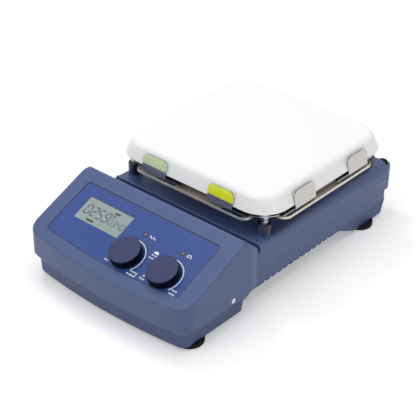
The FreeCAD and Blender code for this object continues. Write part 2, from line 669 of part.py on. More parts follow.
def rear_body(name, inset="0"):
    """The section behind the control box: creased side walls under a flat deck."""
    body = new_body(name)
    ends = []
    for label, level, shoulder in (("front", "deck_overlap - back_foot_y - (%s)" % inset, "shoulder_front"),
                                   ("rear", "(%s) - rear_y" % inset, "shoulder_rear")):
        item = sketch(body, name + "_" + label, "XZ_Plane", level)
        right = [
            ("skirt_half_width - (%s)" % inset, "parting_height"),
            ("skirt_half_width - (%s)" % inset, "crease_low", "crease_round"),
            ("deck_half_width - (%s)" % inset, "crease_high", "crease_round"),
            ("deck_half_width - deck_lean - (%s)" % inset, "deck_height - (%s)" % inset,
             "%s - (%s)" % (shoulder, inset)),
        ]
        left = [("-(%s)" % corner[0],) + corner[1:] for corner in reversed(right)]
        outline(item, right + left)
        ends.append(item)
    loft = body.newObject("PartDesign::AdditiveLoft", name + "_loft")
    loft.Profile = ends[0]
    loft.Sections = [ends[1]]
    pocket(body, name + "_channel", rectangle(
        "back_foot_y - deck_overlap - cut_margin", "channel_height - (%s)" % inset,
        "deck_front_y + (%s)" % inset, "deck_height + cut_margin",
    ), "-box_half_width", "box_half_width", "YZ_Plane")
    return body


def rim_fillet(body, name, keep, radius):
    """Rounds the edges of a body for which keep says yes."""
    doc.recompute()
    base = body.Tip
    edges = ["Edge%d" % number for number, edge in enumerate(base.Shape.Edges, 1) if keep(edge)]
    item = body.newObject("PartDesign::Fillet", name)
    item.Base = (base, edges)
    bind(item, "Radius", radius)
    return item


def pattern(body, name, original, direction, length, count):
    """Repeats a feature in a straight line."""
    item = body.newObject("PartDesign::LinearPattern", name)
    item.Originals = [original]
    axis = next(feature for feature in body.Origin.OriginFeatures if feature.Role == direction)
    item.Direction = (axis, [""])
    bind(item, "Length", length)
    bind(item, "Occurrences", count)
    body.Tip = item
    return item


def screws(name, spots, seat, length, head, shank, points_up):
    """Screws with round heads on the seat's height, as separate solids."""
    parts = []
    for number, (x, y) in enumerate(spots):
        label = "%s_%d" % (name, number)
        if points_up:
            parts.append(drum(label + "_head", head, "%s - screw_head_height" % seat, seat, x, y))
            parts.append(drum(label + "_shank", shank, seat, "%s + %s" % (seat, length), x, y))
        else:
            parts.append(drum(label + "_head", head, seat, "%s + screw_head_height" % seat, x, y))
            parts.append(drum(label + "_shank", shank, "%s - (%s)" % (seat, length), seat, x, y))
    return join(name, *parts)


def drums(name, spots, radius, low, high):
    """Upright cylinders of one size at several places."""
    return join(name, *(drum("%s_%d" % (name, number), radius, low, high, x, y)
                        for number, (x, y) in enumerate(spots)))


WINDOW = ("window_x - window_width / 2", "window_up - window_length / 2",
          "window_x + window_width / 2", "window_up + window_length / 2")
CONTROLS = ("heat_x", "stir_x")
BOARD_SPOTS = pairs(("(board_half_width - board_edge)", "board_edge"),
                    ("(board_half_width - board_edge)", "board_length - board_edge"))
BOARD_TOP = "(-board_depth)"
POSTS = [on_plate(x, y) for x in ("post_offset", "-post_offset") for y in ("post_offset", "-post_offset")]
BRACKET_SPOTS = [on_plate(x, y) for x in ("bracket_hole", "-bracket_hole")
                 for y in ("bracket_hole", "-bracket_hole")]
COVER_SPOTS = [on_plate(x, y) for x in ("cover_hole", "-cover_hole") for y in ("cover_hole", "-cover_hole")]
BASE_SPOTS = pairs(("base_post_x", "base_post_front"), ("base_post_x", "base_post_rear"))
FEET = pairs(("foot_x", "front_foot_y"), ("foot_x", "rear_foot_y"))
POWER_SPOTS = pairs(("(power_width / 2 - board_edge)", "power_y - power_length / 2 + board_edge"),
                    ("(power_width / 2 - board_edge)", "power_y + power_length / 2 - board_edge"))
LEADS = [("lead_spacing", "plate_y + lead_y"), ("-lead_spacing", "plate_y + lead_y")]
PROBE = ("0", "plate_y + lead_y")
DECK_UNDER = "(deck_height - wall)"
NUT_TOP = "(deck_height - wall - nut_seat)"
BRACKET_TOP = "(bracket_height + bracket_thickness)"
CORE_LOW = "(plate_top - plate_crown - core_thickness)"
ELEMENT_LOW = "(%s - element_thickness)" % CORE_LOW
PLATE_LOW = "(parting_height - base_plate)"
POWER_TOP = "(power_height + board_thickness)"
CLIP_LOW = "(clip_height - sheet_thickness)"
TRAY_LOW = "(tray_top - sheet_thickness)"


def slope_openings():
    """The panel's recess and what passes through the wall under it."""
    body = new_body("panel_openings")
    floor = sketch(body, "recess_outline", "XY_Plane", "-panel_depth")
    bowed_outline(floor, "panel_half_width", "-panel_sag", "panel_bow", "panel_corner", "panel_length",
                  "panel_corner")
    feature(body, "Pad", "recess", floor, "panel_depth + cut_margin")
    pad(body, "window", rectangle("%s - gap" % WINDOW[0], "%s - gap" % WINDOW[1], "%s + gap" % WINDOW[2],
                                  "%s + gap" % WINDOW[3], "window_corner + gap"),
        "-wall - cut_margin / 2", "cut_margin / 2")
    holes = []
    for x in CONTROLS:
        holes.append(drum(x + "_bushing_hole", "bushing_radius + gap", "-wall - bite", "cut_margin", x,
                          "knob_up"))
        holes.append(drum(x + "_lamp_hole", "lamp_radius + gap", "-wall - bite", "cut_margin", x, "lamp_up"))
    holes.append(drums("board_pilots", BOARD_SPOTS, "screw_radius + running", BOARD_TOP,
                       BOARD_TOP + " + screw_depth + bite"))
    return on_slope(join("slope_openings", body, *holes))


def rear_openings():
    """Cut-outs of the rear wall, the rod's socket and the side screws' holes."""
    inside = "rear_y - wall - cut_margin"
    through = "wall + 2 * cut_margin"
    items = [
        block("inlet_hole", ("inlet_x - inlet_width / 2 - gap", inside, "rear_middle - inlet_height / 2 - gap"),
              ("inlet_width + 2 * gap", through, "inlet_height + 2 * gap")),
        block("switch_hole", ("switch_x - switch_width / 2 - gap", inside,
                              "rear_middle - switch_height / 2 - gap"),
              ("switch_width + 2 * gap", through, "switch_height + 2 * gap")),
        level_drum("socket_hole", "socket_radius + gap", ("socket_x", inside, "rear_middle"), through,
                   V(-1, 0, 0)),
        block("port_hole", ("port_x - port_width / 2 - gap", inside, "rear_middle - port_height / 2 - gap"),
              ("port_width + 2 * gap", through, "port_height + 2 * gap")),
        drum("rod_hole", "rod_radius", "rod_boss_top - rod_depth", "rod_boss_top - plug_shank / 2", "rod_x",
             "rod_y"),
        drum("rod_counterbore", "plug_shank_radius + gap", "rod_boss_top - plug_shank",
             "rod_boss_top + cut_margin", "rod_x", "rod_y"),
    ]
    for sign, turn in (("", 1), ("-", -1)):
        label = "right" if turn > 0 else "left"
        items.append(level_drum(label + "_screw_recess", "screw_head + gap",
                                (sign + "(box_half_width - screw_recess)", "side_screw_y", "side_screw_z"),
                                "cut_margin", V(0, turn, 0)))
        items.append(level_drum(label + "_screw_hole", "screw_radius + gap",
                                (sign + "(box_half_width - cut_margin)", "side_screw_y", "side_screw_z"),
                                "cut_margin", V(0, turn, 0)))
    return items


def build_housing():
    """The cast housing: control box, creased rear section, bosses inside and every opening."""
    box = box_body("box_shell")
    rim = value("front_edge_height") - 1
    rim_fillet(box, "bezel", lambda edge: edge.BoundBox.ZMin > rim and edge.BoundBox.ZLength > 1,
               "bezel_round")
    rear = rear_body("rear_shell")
    corners = prism("rear_plan", rectangle("-box_half_width", "front_y", "box_half_width", "rear_y"),
                    "0", "plate_top")
    rim_fillet(corners, "rear_corners", lambda edge: edge.BoundBox.ZLength > 1 and edge.BoundBox.YMin > 0,
               "rear_corner")
    rear_face = value("rear_y") - NEAR
    crease = value("crease_high")
    rim_fillet(rear, "rear_top", lambda edge: edge.BoundBox.YMin > rear_face and edge.BoundBox.ZMin > crease,
               "rear_round")
    lip = prism("lip", rectangle("deck_front_y", "deck_height - wall", "deck_front_y + lip_width",
                                 "deck_height + lip_rise", "lip_rise"),
                "shoulder_front - deck_half_width", "deck_half_width - shoulder_front", "YZ_Plane")
    boss = turned("rod_boss", [("0", "rod_boss_foot"), ("rod_boss_radius", "rod_boss_foot", "boss_round"),
                               ("rod_boss_radius", "rod_boss_top", "boss_round"), ("0", "rod_boss_top")])
    place(boss, "rod_x", "rod_y")
    web = prism("rod_web", rectangle("rod_x - rod_boss_radius", "rod_boss_foot", "rod_x + rod_boss_radius",
                                     "rod_boss_top", "boss_round"), "-rod_y", "wall / 2 - rear_y", "XZ_Plane")
    arch = prism("crest_arch", [
        ("-box_half_width", "0"), ("box_half_width", "0"), ("box_half_width", EDGE_Z, "crest_round"),
        ("-box_half_width", EDGE_Z, "crest_round"),
    ], "0", "-front_y", "XZ_Plane")
    seats = drums("post_seats", POSTS, "seat_radius", DECK_UNDER, "deck_height + post_seat")
    outer = join("outer", meet("box_rounded", box, arch), meet("rear_trimmed", rear, corners), lip, boss, web, seats)
    inner = join("inner", box_body("box_room", "wall"), rear_body("rear_room", "wall"))
    shell = cut("shell", outer, inner)
    board_bosses = on_slope(drums("board_bosses", BOARD_SPOTS, "boss_radius", BOARD_TOP, "-wall / 2"))
    base_bosses = drums("base_bosses", BASE_SPOTS, "base_post_radius", "parting_height", "plate_foot")
    bracket_bosses = drums("bracket_bosses", BRACKET_SPOTS, "base_post_radius", BRACKET_TOP,
                           "deck_height - wall / 2")
    nut_bosses = drums("nut_bosses", POSTS, "nut_boss_radius", NUT_TOP, "deck_height - wall / 2")
    side_bosses = [block("side_boss_%d" % side,
                         (low, "side_screw_y - boss_radius", "side_screw_z - boss_radius"),
                         ("box_half_width - wall / 2 - lug_outer - gap", "2 * boss_radius", "2 * boss_radius"))
                   for side, low in enumerate(("lug_outer + gap", "wall / 2 - box_half_width"))]
    bosses = join("all_bosses", board_bosses, base_bosses, bracket_bosses, nut_bosses, *side_bosses)
    inside = meet("inside_bosses", bosses, outer)
    solid = join("solid_housing", shell, inside)
    holes = [
        drum("rotor_opening", "rotor_opening_radius", "%s - bite" % DECK_UNDER, "deck_height + cut_margin",
             *on_plate()),
        drum("grommet_hole", "grommet_radius", "%s - bite" % DECK_UNDER, "deck_height + cut_margin", *PROBE),
        drums("post_holes", POSTS, "post_stud + running", NUT_TOP + " - bite", "deck_height + post_seat + bite"),
        drums("cover_pilots", COVER_SPOTS, "screw_radius + running", "%s - bite" % DECK_UNDER,
              "deck_height + cut_margin"),
        drums("bracket_pilots", BRACKET_SPOTS, "screw_radius + running", "%s - bite" % BRACKET_TOP,
              BRACKET_TOP + " + screw_depth + bite"),
        drums("base_pilots", BASE_SPOTS, "screw_radius + running", "parting_height - bite",
              "parting_height + screw_depth + bite"),
    ]
    node("upper_housing", cut("housing", solid, slope_openings(), *rear_openings(), *holes))


def tub_body(name, inset, low):
    """The front part of the base, which narrows towards its foot; inset draws it in."""
    body = new_body(name)
    foot = sketch(body, name + "_foot", "XY_Plane", low)
    box_outline(foot, "band_step + seam + base_taper + %s" % inset)
    rim = sketch(body, name + "_rim", "XY_Plane", "parting_height")
    box_outline(rim, "band_step + seam + %s" % inset)
    loft = body.newObject("PartDesign::AdditiveLoft", name + "_loft")
    loft.Profile = foot
    loft.Sections = [rim]
    pocket(body, name + "_back", [
        ("base_back_y - base_back_lean - (%s)" % inset, "base_height"),
        ("box_back_y + cut_margin", "base_height"),
        ("box_back_y + cut_margin", "parting_height + cut_margin"),
        ("base_back_y - (%s)" % inset, "parting_height + cut_margin"),
    ], "-box_half_width", "box_half_width", "YZ_Plane")
    return body


LEG_ANGLE = "atan((%s - base_height) / pod_run)" % PLATE_LOW


def leg_body(name, inset, sign):
    """A rear leg, from its side view; inset draws it in."""
    slant = "(%s) / sin(%s)" % (inset, LEG_ANGLE)
    outer_side = "skirt_half_width - seam - (%s)" % inset
    inner_side = "pod_inner_x + (%s)" % inset
    low, high = (inner_side, outer_side) if sign > 0 else ("-(%s)" % outer_side, "-(%s)" % inner_side)
    return prism(name, [
        ("pod_front_y + pod_run + %s - (%s) / tan(%s)" % (slant, inset, LEG_ANGLE),
         "base_height + (%s)" % inset, "leg_round"),
        ("rear_y - seam - pod_rear_inset - (%s)" % inset, "base_height + (%s)" % inset, "leg_round"),
        ("rear_y - seam - (%s)" % inset, "parting_height"),
        ("pod_front_y + " + slant, "parting_height"),
        ("pod_front_y + " + slant, PLATE_LOW),
    ], low, high, "YZ_Plane")


def build_base():
    """The moulded base: a tub under the control box, a flat plate behind it and two hollow legs."""
    tub = tub_body("tub", "0", "base_height")
    foot_line = value("base_height") + NEAR
    rim_fillet(tub, "tub_round", lambda edge: edge.BoundBox.ZMax < foot_line, "leg_round")
    apron = new_body("apron")
    plan = sketch(apron, "apron_plan", "XY_Plane", PLATE_LOW)
    box_outline(plan, "band_step + seam")
    feature(apron, "Pad", "apron_pad", plan, "base_plate")
    plate = prism("rear_plate", rectangle("seam - skirt_half_width", "back_foot_y - deck_overlap",
                                          "skirt_half_width - seam", "rear_y - seam", "rear_corner"),
                  PLATE_LOW, "parting_height")
    slot_x = "(skirt_half_width - notch_depth)"
    for label, x_low, x_high in (("right", slot_x, "skirt_half_width"), ("left", "-skirt_half_width",
                                                                         "-" + slot_x)):
        notch = pocket(plate, label + "_notch", rectangle(x_low, "notch_start_y", x_high,
                                                          "notch_start_y + notch_width"),
                       PLATE_LOW, "parting_height")
        pattern(plate, label + "_notches", notch, "Y_Axis", "notch_pitch * (notch_count - 1)", "notch_count")
    vent_start = "plate_y - vent_pitch * (vent_count - 1) / 2"
    vent = pocket(plate, "vent", rectangle("-vent_length / 2", vent_start, "vent_length / 2",
                                           "%s + notch_width" % vent_start), PLATE_LOW, "parting_height")
    pattern(plate, "vents", vent, "Y_Axis", "vent_pitch * (vent_count - 1)", "vent_count")
    outside = join("base_outside", tub, apron, plate, leg_body("right_leg", "0", 1),
                   leg_body("left_leg", "0", -1))
    rooms = [tub_body("tub_room", "base_floor", "base_height + base_floor"),
             leg_body("right_leg_room", "base_floor", 1), leg_body("left_leg_room", "base_floor", -1)]
    hollow = cut("base_shell", outside, *rooms)
    added = [
        drums("foot_bosses", FEET, "boss_radius", "base_height + base_floor / 2", "base_height + foot_boss"),
        drums("power_posts", POWER_SPOTS, "boss_radius", "parting_height - base_plate / 2", "power_height"),
    ]
    for side, low in enumerate(("lug_outer - lug_thickness", "-lug_outer")):
        added.append(block("lug_%d" % side, (low, "side_screw_y - lug_width / 2", "parting_height - lug_root"),
                           ("lug_thickness", "lug_width", "lug_root + lug_rise")))
    holes = [
        drums("foot_seats", FEET, "foot_radius + gap", "base_height - bite", "base_height + foot_seat"),
        drums("foot_pilots", FEET, "foot_screw + running", "base_height - bite", "base_height + foot_boss"),
        drums("base_holes", BASE_SPOTS, "screw_radius + gap", PLATE_LOW + " - bite", "parting_height + bite"),
        drums("power_pilots", POWER_SPOTS, "screw_radius + running", "power_height - screw_depth",
              "power_height + bite"),
        level_drum("lug_hole", "screw_radius + running", ("-box_half_width", "side_screw_y", "side_screw_z"),
                   "2 * box_half_width", V(0, 1, 0)),
    ]
    node("base_tray", cut("base", join("base_body", hollow, *added), *holes))


def build_feet():
    """Four rubber feet and the screws that hold them."""
    feet = []
    for number, (x, y) in enumerate(FEET):
        foot = turned("foot_%d" % number, [
            ("foot_screw_head + gap", "0"), ("foot_radius", "0", "foot_round"),
            ("foot_radius", "base_height + foot_seat"), ("foot_screw + gap", "base_height + foot_seat"),
            ("foot_screw + gap", "foot_pocket"), ("foot_screw_head + gap", "foot_pocket"),
        ])
        feet.append(place(foot, x, y))
    node("rubber_feet", group("feet", *feet))
    node("foot_screws", screws("foot_screw_set", FEET, "foot_pocket", "foot_boss - foot_seat",
                               "foot_screw_head", "foot_screw", True))


def build_display():
    """The panel's overlay, the display under it and the board that carries them."""
    overlay = new_body("overlay")
    plan = sketch(overlay, "overlay_plan", "XY_Plane", "-panel_depth")
    bowed_outline(plan, "panel_half_width", "-panel_sag", "panel_bow", "panel_corner", "panel_length",
                  "panel_corner", "gap / 2")
    feature(overlay, "Pad", "overlay_pad", plan, "overlay_thickness")
    overlay_top = "overlay_thickness - panel_depth"
    pocket(overlay, "overlay_window", rectangle("%s - gap" % WINDOW[0], "%s - gap" % WINDOW[1],
                                                "%s + gap" % WINDOW[2], "%s + gap" % WINDOW[3],
                                                "window_corner + gap"), "-panel_depth", overlay_top)
    circles = [(x, "knob_up", "bushing_radius + gap") for x in CONTROLS]
    circles += [(x, "lamp_up", "lamp_radius + gap") for x in CONTROLS]
    drill(overlay, "overlay_holes", circles, "-panel_depth", overlay_top)
    node("control_overlay", on_slope(overlay))
    node("display_window", on_slope(prism("window_pane", rectangle(*WINDOW, "window_corner"), "-wall",
                                          overlay_top)))
    wide = ["%s %s glass_margin" % (text, sign) for text, sign in zip(WINDOW, "--++")]
    node("display_glass", on_slope(prism("glass", rectangle(*wide), "-wall - glass_thickness", "-wall")))
    node("display_backlight", on_slope(prism("backlight", rectangle(*wide, "window_corner"), BOARD_TOP,
                                             "-wall - glass_thickness")))
    board = prism("board", rectangle("-board_half_width", "0", "board_half_width", "board_length",
                                     "window_corner"), BOARD_TOP + " - board_thickness", BOARD_TOP)
    drill(board, "board_holes", [(x, y, "screw_radius + gap") for x, y in BOARD_SPOTS],
          BOARD_TOP + " - board_thickness", BOARD_TOP)
    node("control_board", on_slope(board))
    node("board_screws", on_slope(screws("board_screw", BOARD_SPOTS, BOARD_TOP + " - board_thickness",
                                         "screw_depth + board_thickness", "screw_head", "screw_radius", True)))


def build_control(label):
    """One rotary control: encoder, push plunger, shaft, knob and the lamp above it."""
    x = label + "_x"
    spot = (x, "knob_up")
    case_top = BOARD_TOP + " + encoder_height"
    case = middle_block(label + "_case", (x, "knob_up", BOARD_TOP), ("encoder_side", "encoder_side",
                                                                      "encoder_height"))
    bushing = drum(label + "_bushing", "bushing_radius", case_top, "-bushing_depth", *spot)
    chamber = drum(label + "_chamber", "plunger_radius + gap", BOARD_TOP + " + plunger_floor",
                   case_top + " - encoder_lid", *spot)
    bore = drum(label + "_bore", "shaft_radius + running", BOARD_TOP + " + plunger_floor", "0", *spot)
    node(label + "_encoder", on_slope(cut(label + "_encoder_solid", join(label + "_housing", case, bushing),
                                          chamber, bore)))
    plunger_low = BOARD_TOP + " + plunger_floor + push_travel + gap"
    plunger_top = plunger_low + " + plunger_thickness"
    disc = drum(label + "_disc", "plunger_radius", plunger_low, plunger_top, *spot)
    node(label + "_plunger", on_slope(group(label + "_plunger_part", disc)))
    shaft_low = plunger_top + " + running"
    collar = drum(label + "_collar", "plunger_radius", shaft_low, shaft_low + " + collar_thickness", *spot)
    shaft = drum(label + "_rod", "shaft_radius", shaft_low, "shaft_top", *spot)
    node(label + "_shaft", on_slope(join(label + "_spindle", collar, shaft)))
    knob = turned(label + "_cap", [
        ("shaft_radius", "knob_lift"), ("knob_radius", "knob_lift"),
        ("knob_radius - knob_taper", "knob_top", "knob_round"), ("0", "knob_top"), ("0", "shaft_top"),
        ("shaft_radius", "shaft_top"),
    ])
    node(label + "_knob", on_slope(group(label + "_knob_part", place(knob, *spot))))
    lamp = turned(label + "_lens", [
        ("0", BOARD_TOP), ("lamp_flange", BOARD_TOP), ("lamp_flange", BOARD_TOP + " + lamp_rim"),
        ("lamp_radius", BOARD_TOP + " + lamp_rim"), ("lamp_radius", "lamp_top", "lamp_dome"), ("0", "lamp_top"),
    ])
    node(label + "_lamp", on_slope(group(label + "_lamp_part", place(lamp, x, "lamp_up"))))


def build_case_screws():
    """The screws that join the housing to its base."""
    node("base_screws", screws("base_screw", BASE_SPOTS, PLATE_LOW, "base_plate + screw_depth", "screw_head",
                               "screw_radius", True))
    parts = []
    for turn, sign in ((1, ""), (-1, "-")):
        seat = "(box_half_width - screw_recess)"
        parts.append(level_drum("side_head_%d" % (turn + 1), "screw_head", (sign + seat, "side_screw_y",
                                                                             "side_screw_z"),
                                "side_head_height", V(0, turn, 0)))
        parts.append(level_drum("side_shank_%d" % (turn + 1), "screw_radius",
                                (sign + "(lug_outer - lug_thickness)", "side_screw_y", "side_screw_z"),
                                seat + " - lug_outer + lug_thickness", V(0, turn, 0)))
    node("side_screws", join("side_screw_set", *parts))


def plate_block(name, inset, low, high):
    """The tapering block of the heated plate; inset draws its sides in."""
    body = new_body(name)
    item = pad(body, name + "_pad", rounded_square("(plate_foot_half - (%s))" % inset,
                                                   "plate_foot_corner - (%s)" % inset), low, high)
    bind(item, "TaperAngle", "-plate_taper")
    return place(body, *on_plate())


def build_plate():
    """The white plate with its core, heater and insulation, and the posts that carry it."""
    outside = plate_block("plate_block", "0", "plate_foot", "plate_top")
    brim = value("plate_top") - NEAR
    rim_fillet(outside, "plate_rim", lambda edge: edge.BoundBox.ZMin > brim, "plate_round")
    room = plate_block("plate_room", "plate_skin", "plate_foot", "plate_top - plate_crown")
    legs = drums("plate_bosses", POSTS, "plate_boss", "clip_height", "plate_foot + plate_boss")
    pilots = drums("plate_pilots", POSTS, "post_stud + running", "clip_height - bite",
                   "clip_height + stud_length + bite")
    node("heating_plate", cut("plate", join("plate_body", cut("plate_shell", outside, room), legs), pilots))
    core = place(prism("core_block", rounded_square("core_half", "core_corner"), CORE_LOW,
                       "plate_top - plate_crown"), *on_plate())
    node("plate_core", cut("core", core, drum("probe_bore", "probe_radius + running", CORE_LOW + " - bite",
                                              CORE_LOW + " + probe_depth", *PROBE)))
    element = place(prism("element_sheet", rounded_square("core_half - core_margin", "core_corner"),
                          ELEMENT_LOW, CORE_LOW), *on_plate())
    hole = drum("element_hole", "probe_radius + gap", ELEMENT_LOW + " - bite", CORE_LOW + " + bite", *PROBE)
    node("heating_element", cut("element", element, hole))
    mat = place(prism("mat", rounded_square("core_half - core_margin", "core_corner"), "clip_height",
                      ELEMENT_LOW), *on_plate())
    passages = [drums("mat_leads", LEADS, "lead_radius + gap", "clip_height - bite", ELEMENT_LOW + " + bite"),
                drum("mat_probe", "probe_radius + gap", "clip_height - bite", ELEMENT_LOW + " + bite", *PROBE)]
    node("insulation_mat", cut("insulation", mat, *passages))
    posts = [drums("post_shafts", POSTS, "post_radius", "deck_height + post_seat", TRAY_LOW),
             drums("post_studs", POSTS, "post_stud", NUT_TOP + " - nut_height", "clip_height + stud_length")]
    node("plate_posts", join("posts", *posts))
    sleeves = drums("sleeves", POSTS, "post_radius", "tray_top", CLIP_LOW)
    bores = drums("sleeve_bores", POSTS, "post_stud + running", "tray_top - bite", CLIP_LOW + " + bite")
    node("post_spacers", cut("spacers", sleeves, bores))
    nuts = []
    for number, (x, y) in enumerate(POSTS):
        nut = doc.addObject("Part::Prism", "nut_%d" % number)
        nut.Polygon = 6
        bind(nut, "Circumradius", "nut_radius")
        bind(nut, "Height", "nut_height")
        nuts.append(place(nut, x, y, NUT_TOP + " - nut_height"))
    threads = drums("nut_bores", POSTS, "post_stud + running", NUT_TOP + " - nut_height - bite", NUT_TOP)
    node("post_nuts", cut("nuts", join("nut_blanks", *nuts), threads))
    node("heater_leads", drums("leads", LEADS, "lead_radius", "terminal_top", ELEMENT_LOW))
    node("temperature_probe", join("probe", drum("probe_tip", "probe_radius", "tray_top", CORE_LOW
                                                 + " + probe_depth - gap", *PROBE),
                                   drum("probe_lead", "lead_radius", "terminal_top", "tray_top", *PROBE)))
    grommet = turned("grommet_ring", [
        ("0", DECK_UNDER + " - grommet_lip"),
        ("grommet_flange", DECK_UNDER + " - grommet_lip", "grommet_round"),
        ("grommet_flange", DECK_UNDER), ("grommet_radius", DECK_UNDER), ("grommet_radius", "deck_height"),
        ("grommet_flange", "deck_height"), ("grommet_flange", "deck_height + grommet_lip", "grommet_round"),
        ("0", "deck_height + grommet_lip"),
    ])
    passages = drums("lead_holes", LEADS + [PROBE], "lead_radius + running", DECK_UNDER + " - cut_margin",
                     "deck_height + cut_margin")
    node("deck_grommet", cut("grommet", place(grommet, *PROBE), passages))


def side_block(name, side, along, out, low, high):
    """A box on one side of the plate: along runs towards the near corner, out is away from the middle."""
    start, end = along if side % 2 == 0 else ("-(%s)" % along[1], "-(%s)" % along[0])
    inner, outer = out
    x, y = [(start, "-(%s)" % outer), (outer, start), ("-(%s)" % start, outer),
            ("-(%s)" % outer, "-(%s)" % start)][side]
    item = doc.addObject("Part::Box", name)
    bind(item, "Length", "(%s) - (%s)" % (end, start))
    bind(item, "Width", "(%s) - (%s)" % (outer, inner))
    bind(item, "Height", "(%s) - (%s)" % (high, low))
    return place(item, *on_plate(x, y), low, turn=V(0, 0, 1), angle=str(90 * side))


def side_strip(name, side, inset, low, high):
    """A strip of the tray on one side of the plate, with rounded outer corners; inset draws it in."""
    far, near = ("tray_strip_far", "tray_strip_near")[::1 if side % 2 == 0 else -1]
    start = "%s - %s" % (inset, far)
    end = "%s - %s" % (near, inset)
    outer = "%s - tray_reach" % inset
    inner = "tray_corner / 4 - tray_half + %s" % inset
    radius = "strip_round - %s" % inset
    strip = prism(name, [(start, outer, radius), (end, outer, radius), (end, inner), (start, inner)], low, high)
    return place(strip, *on_plate(), turn=V(0, 0, 1), angle=str(90 * side))


def build_sheets():
    """The two stainless sheets under the plate: the tray, and the frame with its upright tabs."""
    tray = [place(prism("tray_middle", rounded_square("tray_half", "tray_corner"), TRAY_LOW, "tray_top"),
                  *on_plate())]
    slots = []
    for side in range(4):
        tray.append(side_strip("strip_%d" % side, side, "0", TRAY_LOW, "tray_top + tray_lip"))
        slots.append(side_strip("strip_room_%d" % side, side, "sheet_thickness", "tray_top",
                                "tray_top + tray_lip + bite"))
        for index, centre in enumerate(("-tab_offset", "tab_offset")):
            slots.append(side_block("slot_%d_%d" % (side, index), side, (centre, centre + " + slot_length"),
                                    ("tray_half", "tray_half + slot_width"), TRAY_LOW + " - bite",
                                    "tray_top + bite"))
    slots.append(drums("tray_stud_holes", POSTS, "post_stud + running", TRAY_LOW + " - bite", "tray_top + bite"))
    slots.append(drums("tray_lead_holes", LEADS, "lead_radius + gap", TRAY_LOW + " - bite", "tray_top + bite"))
    slots.append(drum("tray_probe_hole", "probe_radius + gap", TRAY_LOW + " - bite", "tray_top + bite", *PROBE))
    node("heat_shield_tray", cut("tray", join("tray_sheet", *tray), *slots))

    frame = prism("clip_sheet", rounded_square("clip_half", "clip_corner"), CLIP_LOW, "clip_height")
    for label, height, angle, count in (("low", "low_tab_height", 360, 4), ("high", "tab_height", 90, 2)):
        tabs = [tab_pad(frame, "%s_tab_%s" % (label, word), centre, "0", "sheet_thickness", "0", height)
                for word, centre in (("left", "-tab_offset"), ("right", "tab_offset"))]
        turns = frame.newObject("PartDesign::PolarPattern", label + "_tabs")
        turns.Originals = tabs
        turns.Axis = (next(item for item in frame.Origin.OriginFeatures if item.Role == "Z_Axis"), [""])
        turns.Angle = angle
        turns.Occurrences = count
        frame.Tip = turns
    place(frame, *on_plate())
    strips = []
    for side in range(4):
        for index, centre in enumerate(("-tab_offset", "tab_offset")):
            strips.append(side_block("ear_%d_%d" % (side, index), side,
                                     (centre + " - tab_width / 2", centre + " + tab_width / 2 + ear_length"),
                                     ("clip_half - cut_margin", "tab_plane - sheet_thickness"), CLIP_LOW,
                                     "clip_height"))
    holes = [drums("clip_stud_holes", POSTS, "post_stud + running", CLIP_LOW + " - bite", "clip_height + bite"),
             drums("clip_lead_holes", LEADS, "lead_radius + gap", CLIP_LOW + " - bite", "clip_height + bite"),
             drum("clip_probe_hole", "probe_radius + gap", CLIP_LOW + " - bite", "clip_height + bite", *PROBE)]
    node("clip_frame", cut("clip", join("clip_body", frame, *strips), *holes))
    for word, centre in (("left", "-tab_offset"), ("right", "tab_offset")):
        film = new_body("film_" + word)
        tab_pad(film, "film_%s_pad" % word, centre, "sheet_thickness", "sheet_thickness + film_thickness",
                "tab_height * (1 - film_share)", "tab_height")
        node("tab_film_" + word, place(film, *on_plate()))


def tab_pad(body, name, centre, near, far, low, high):
    """An upright tab on the front side that leans in; near and far are measured from its inner face."""
    item = sketch(body, name + "_outline", "XZ_Plane")
    item.AttachmentOffset = FreeCAD.Placement(V(0, 0, 0), FreeCAD.Rotation(V(-1, 0, 0), 1))
    bind(item, "AttachmentOffset.Rotation.Angle", "tab_lean")
    bind(item, "AttachmentOffset.Base.y", "%s + (%s) * sin(tab_lean)" % (CLIP_LOW, near))
    bind(item, "AttachmentOffset.Base.z", "tab_plane - sheet_thickness + (%s) * cos(tab_lean)" % near)
    left, right = centre + " - tab_width / 2", centre + " + tab_width / 2"
    outline(item, [(left, low), (right, low), (right, high, "tab_corner"), (left, high, "tab_corner")])
    return feature(body, "Pad", name, item, "(%s) - (%s)" % (far, near))


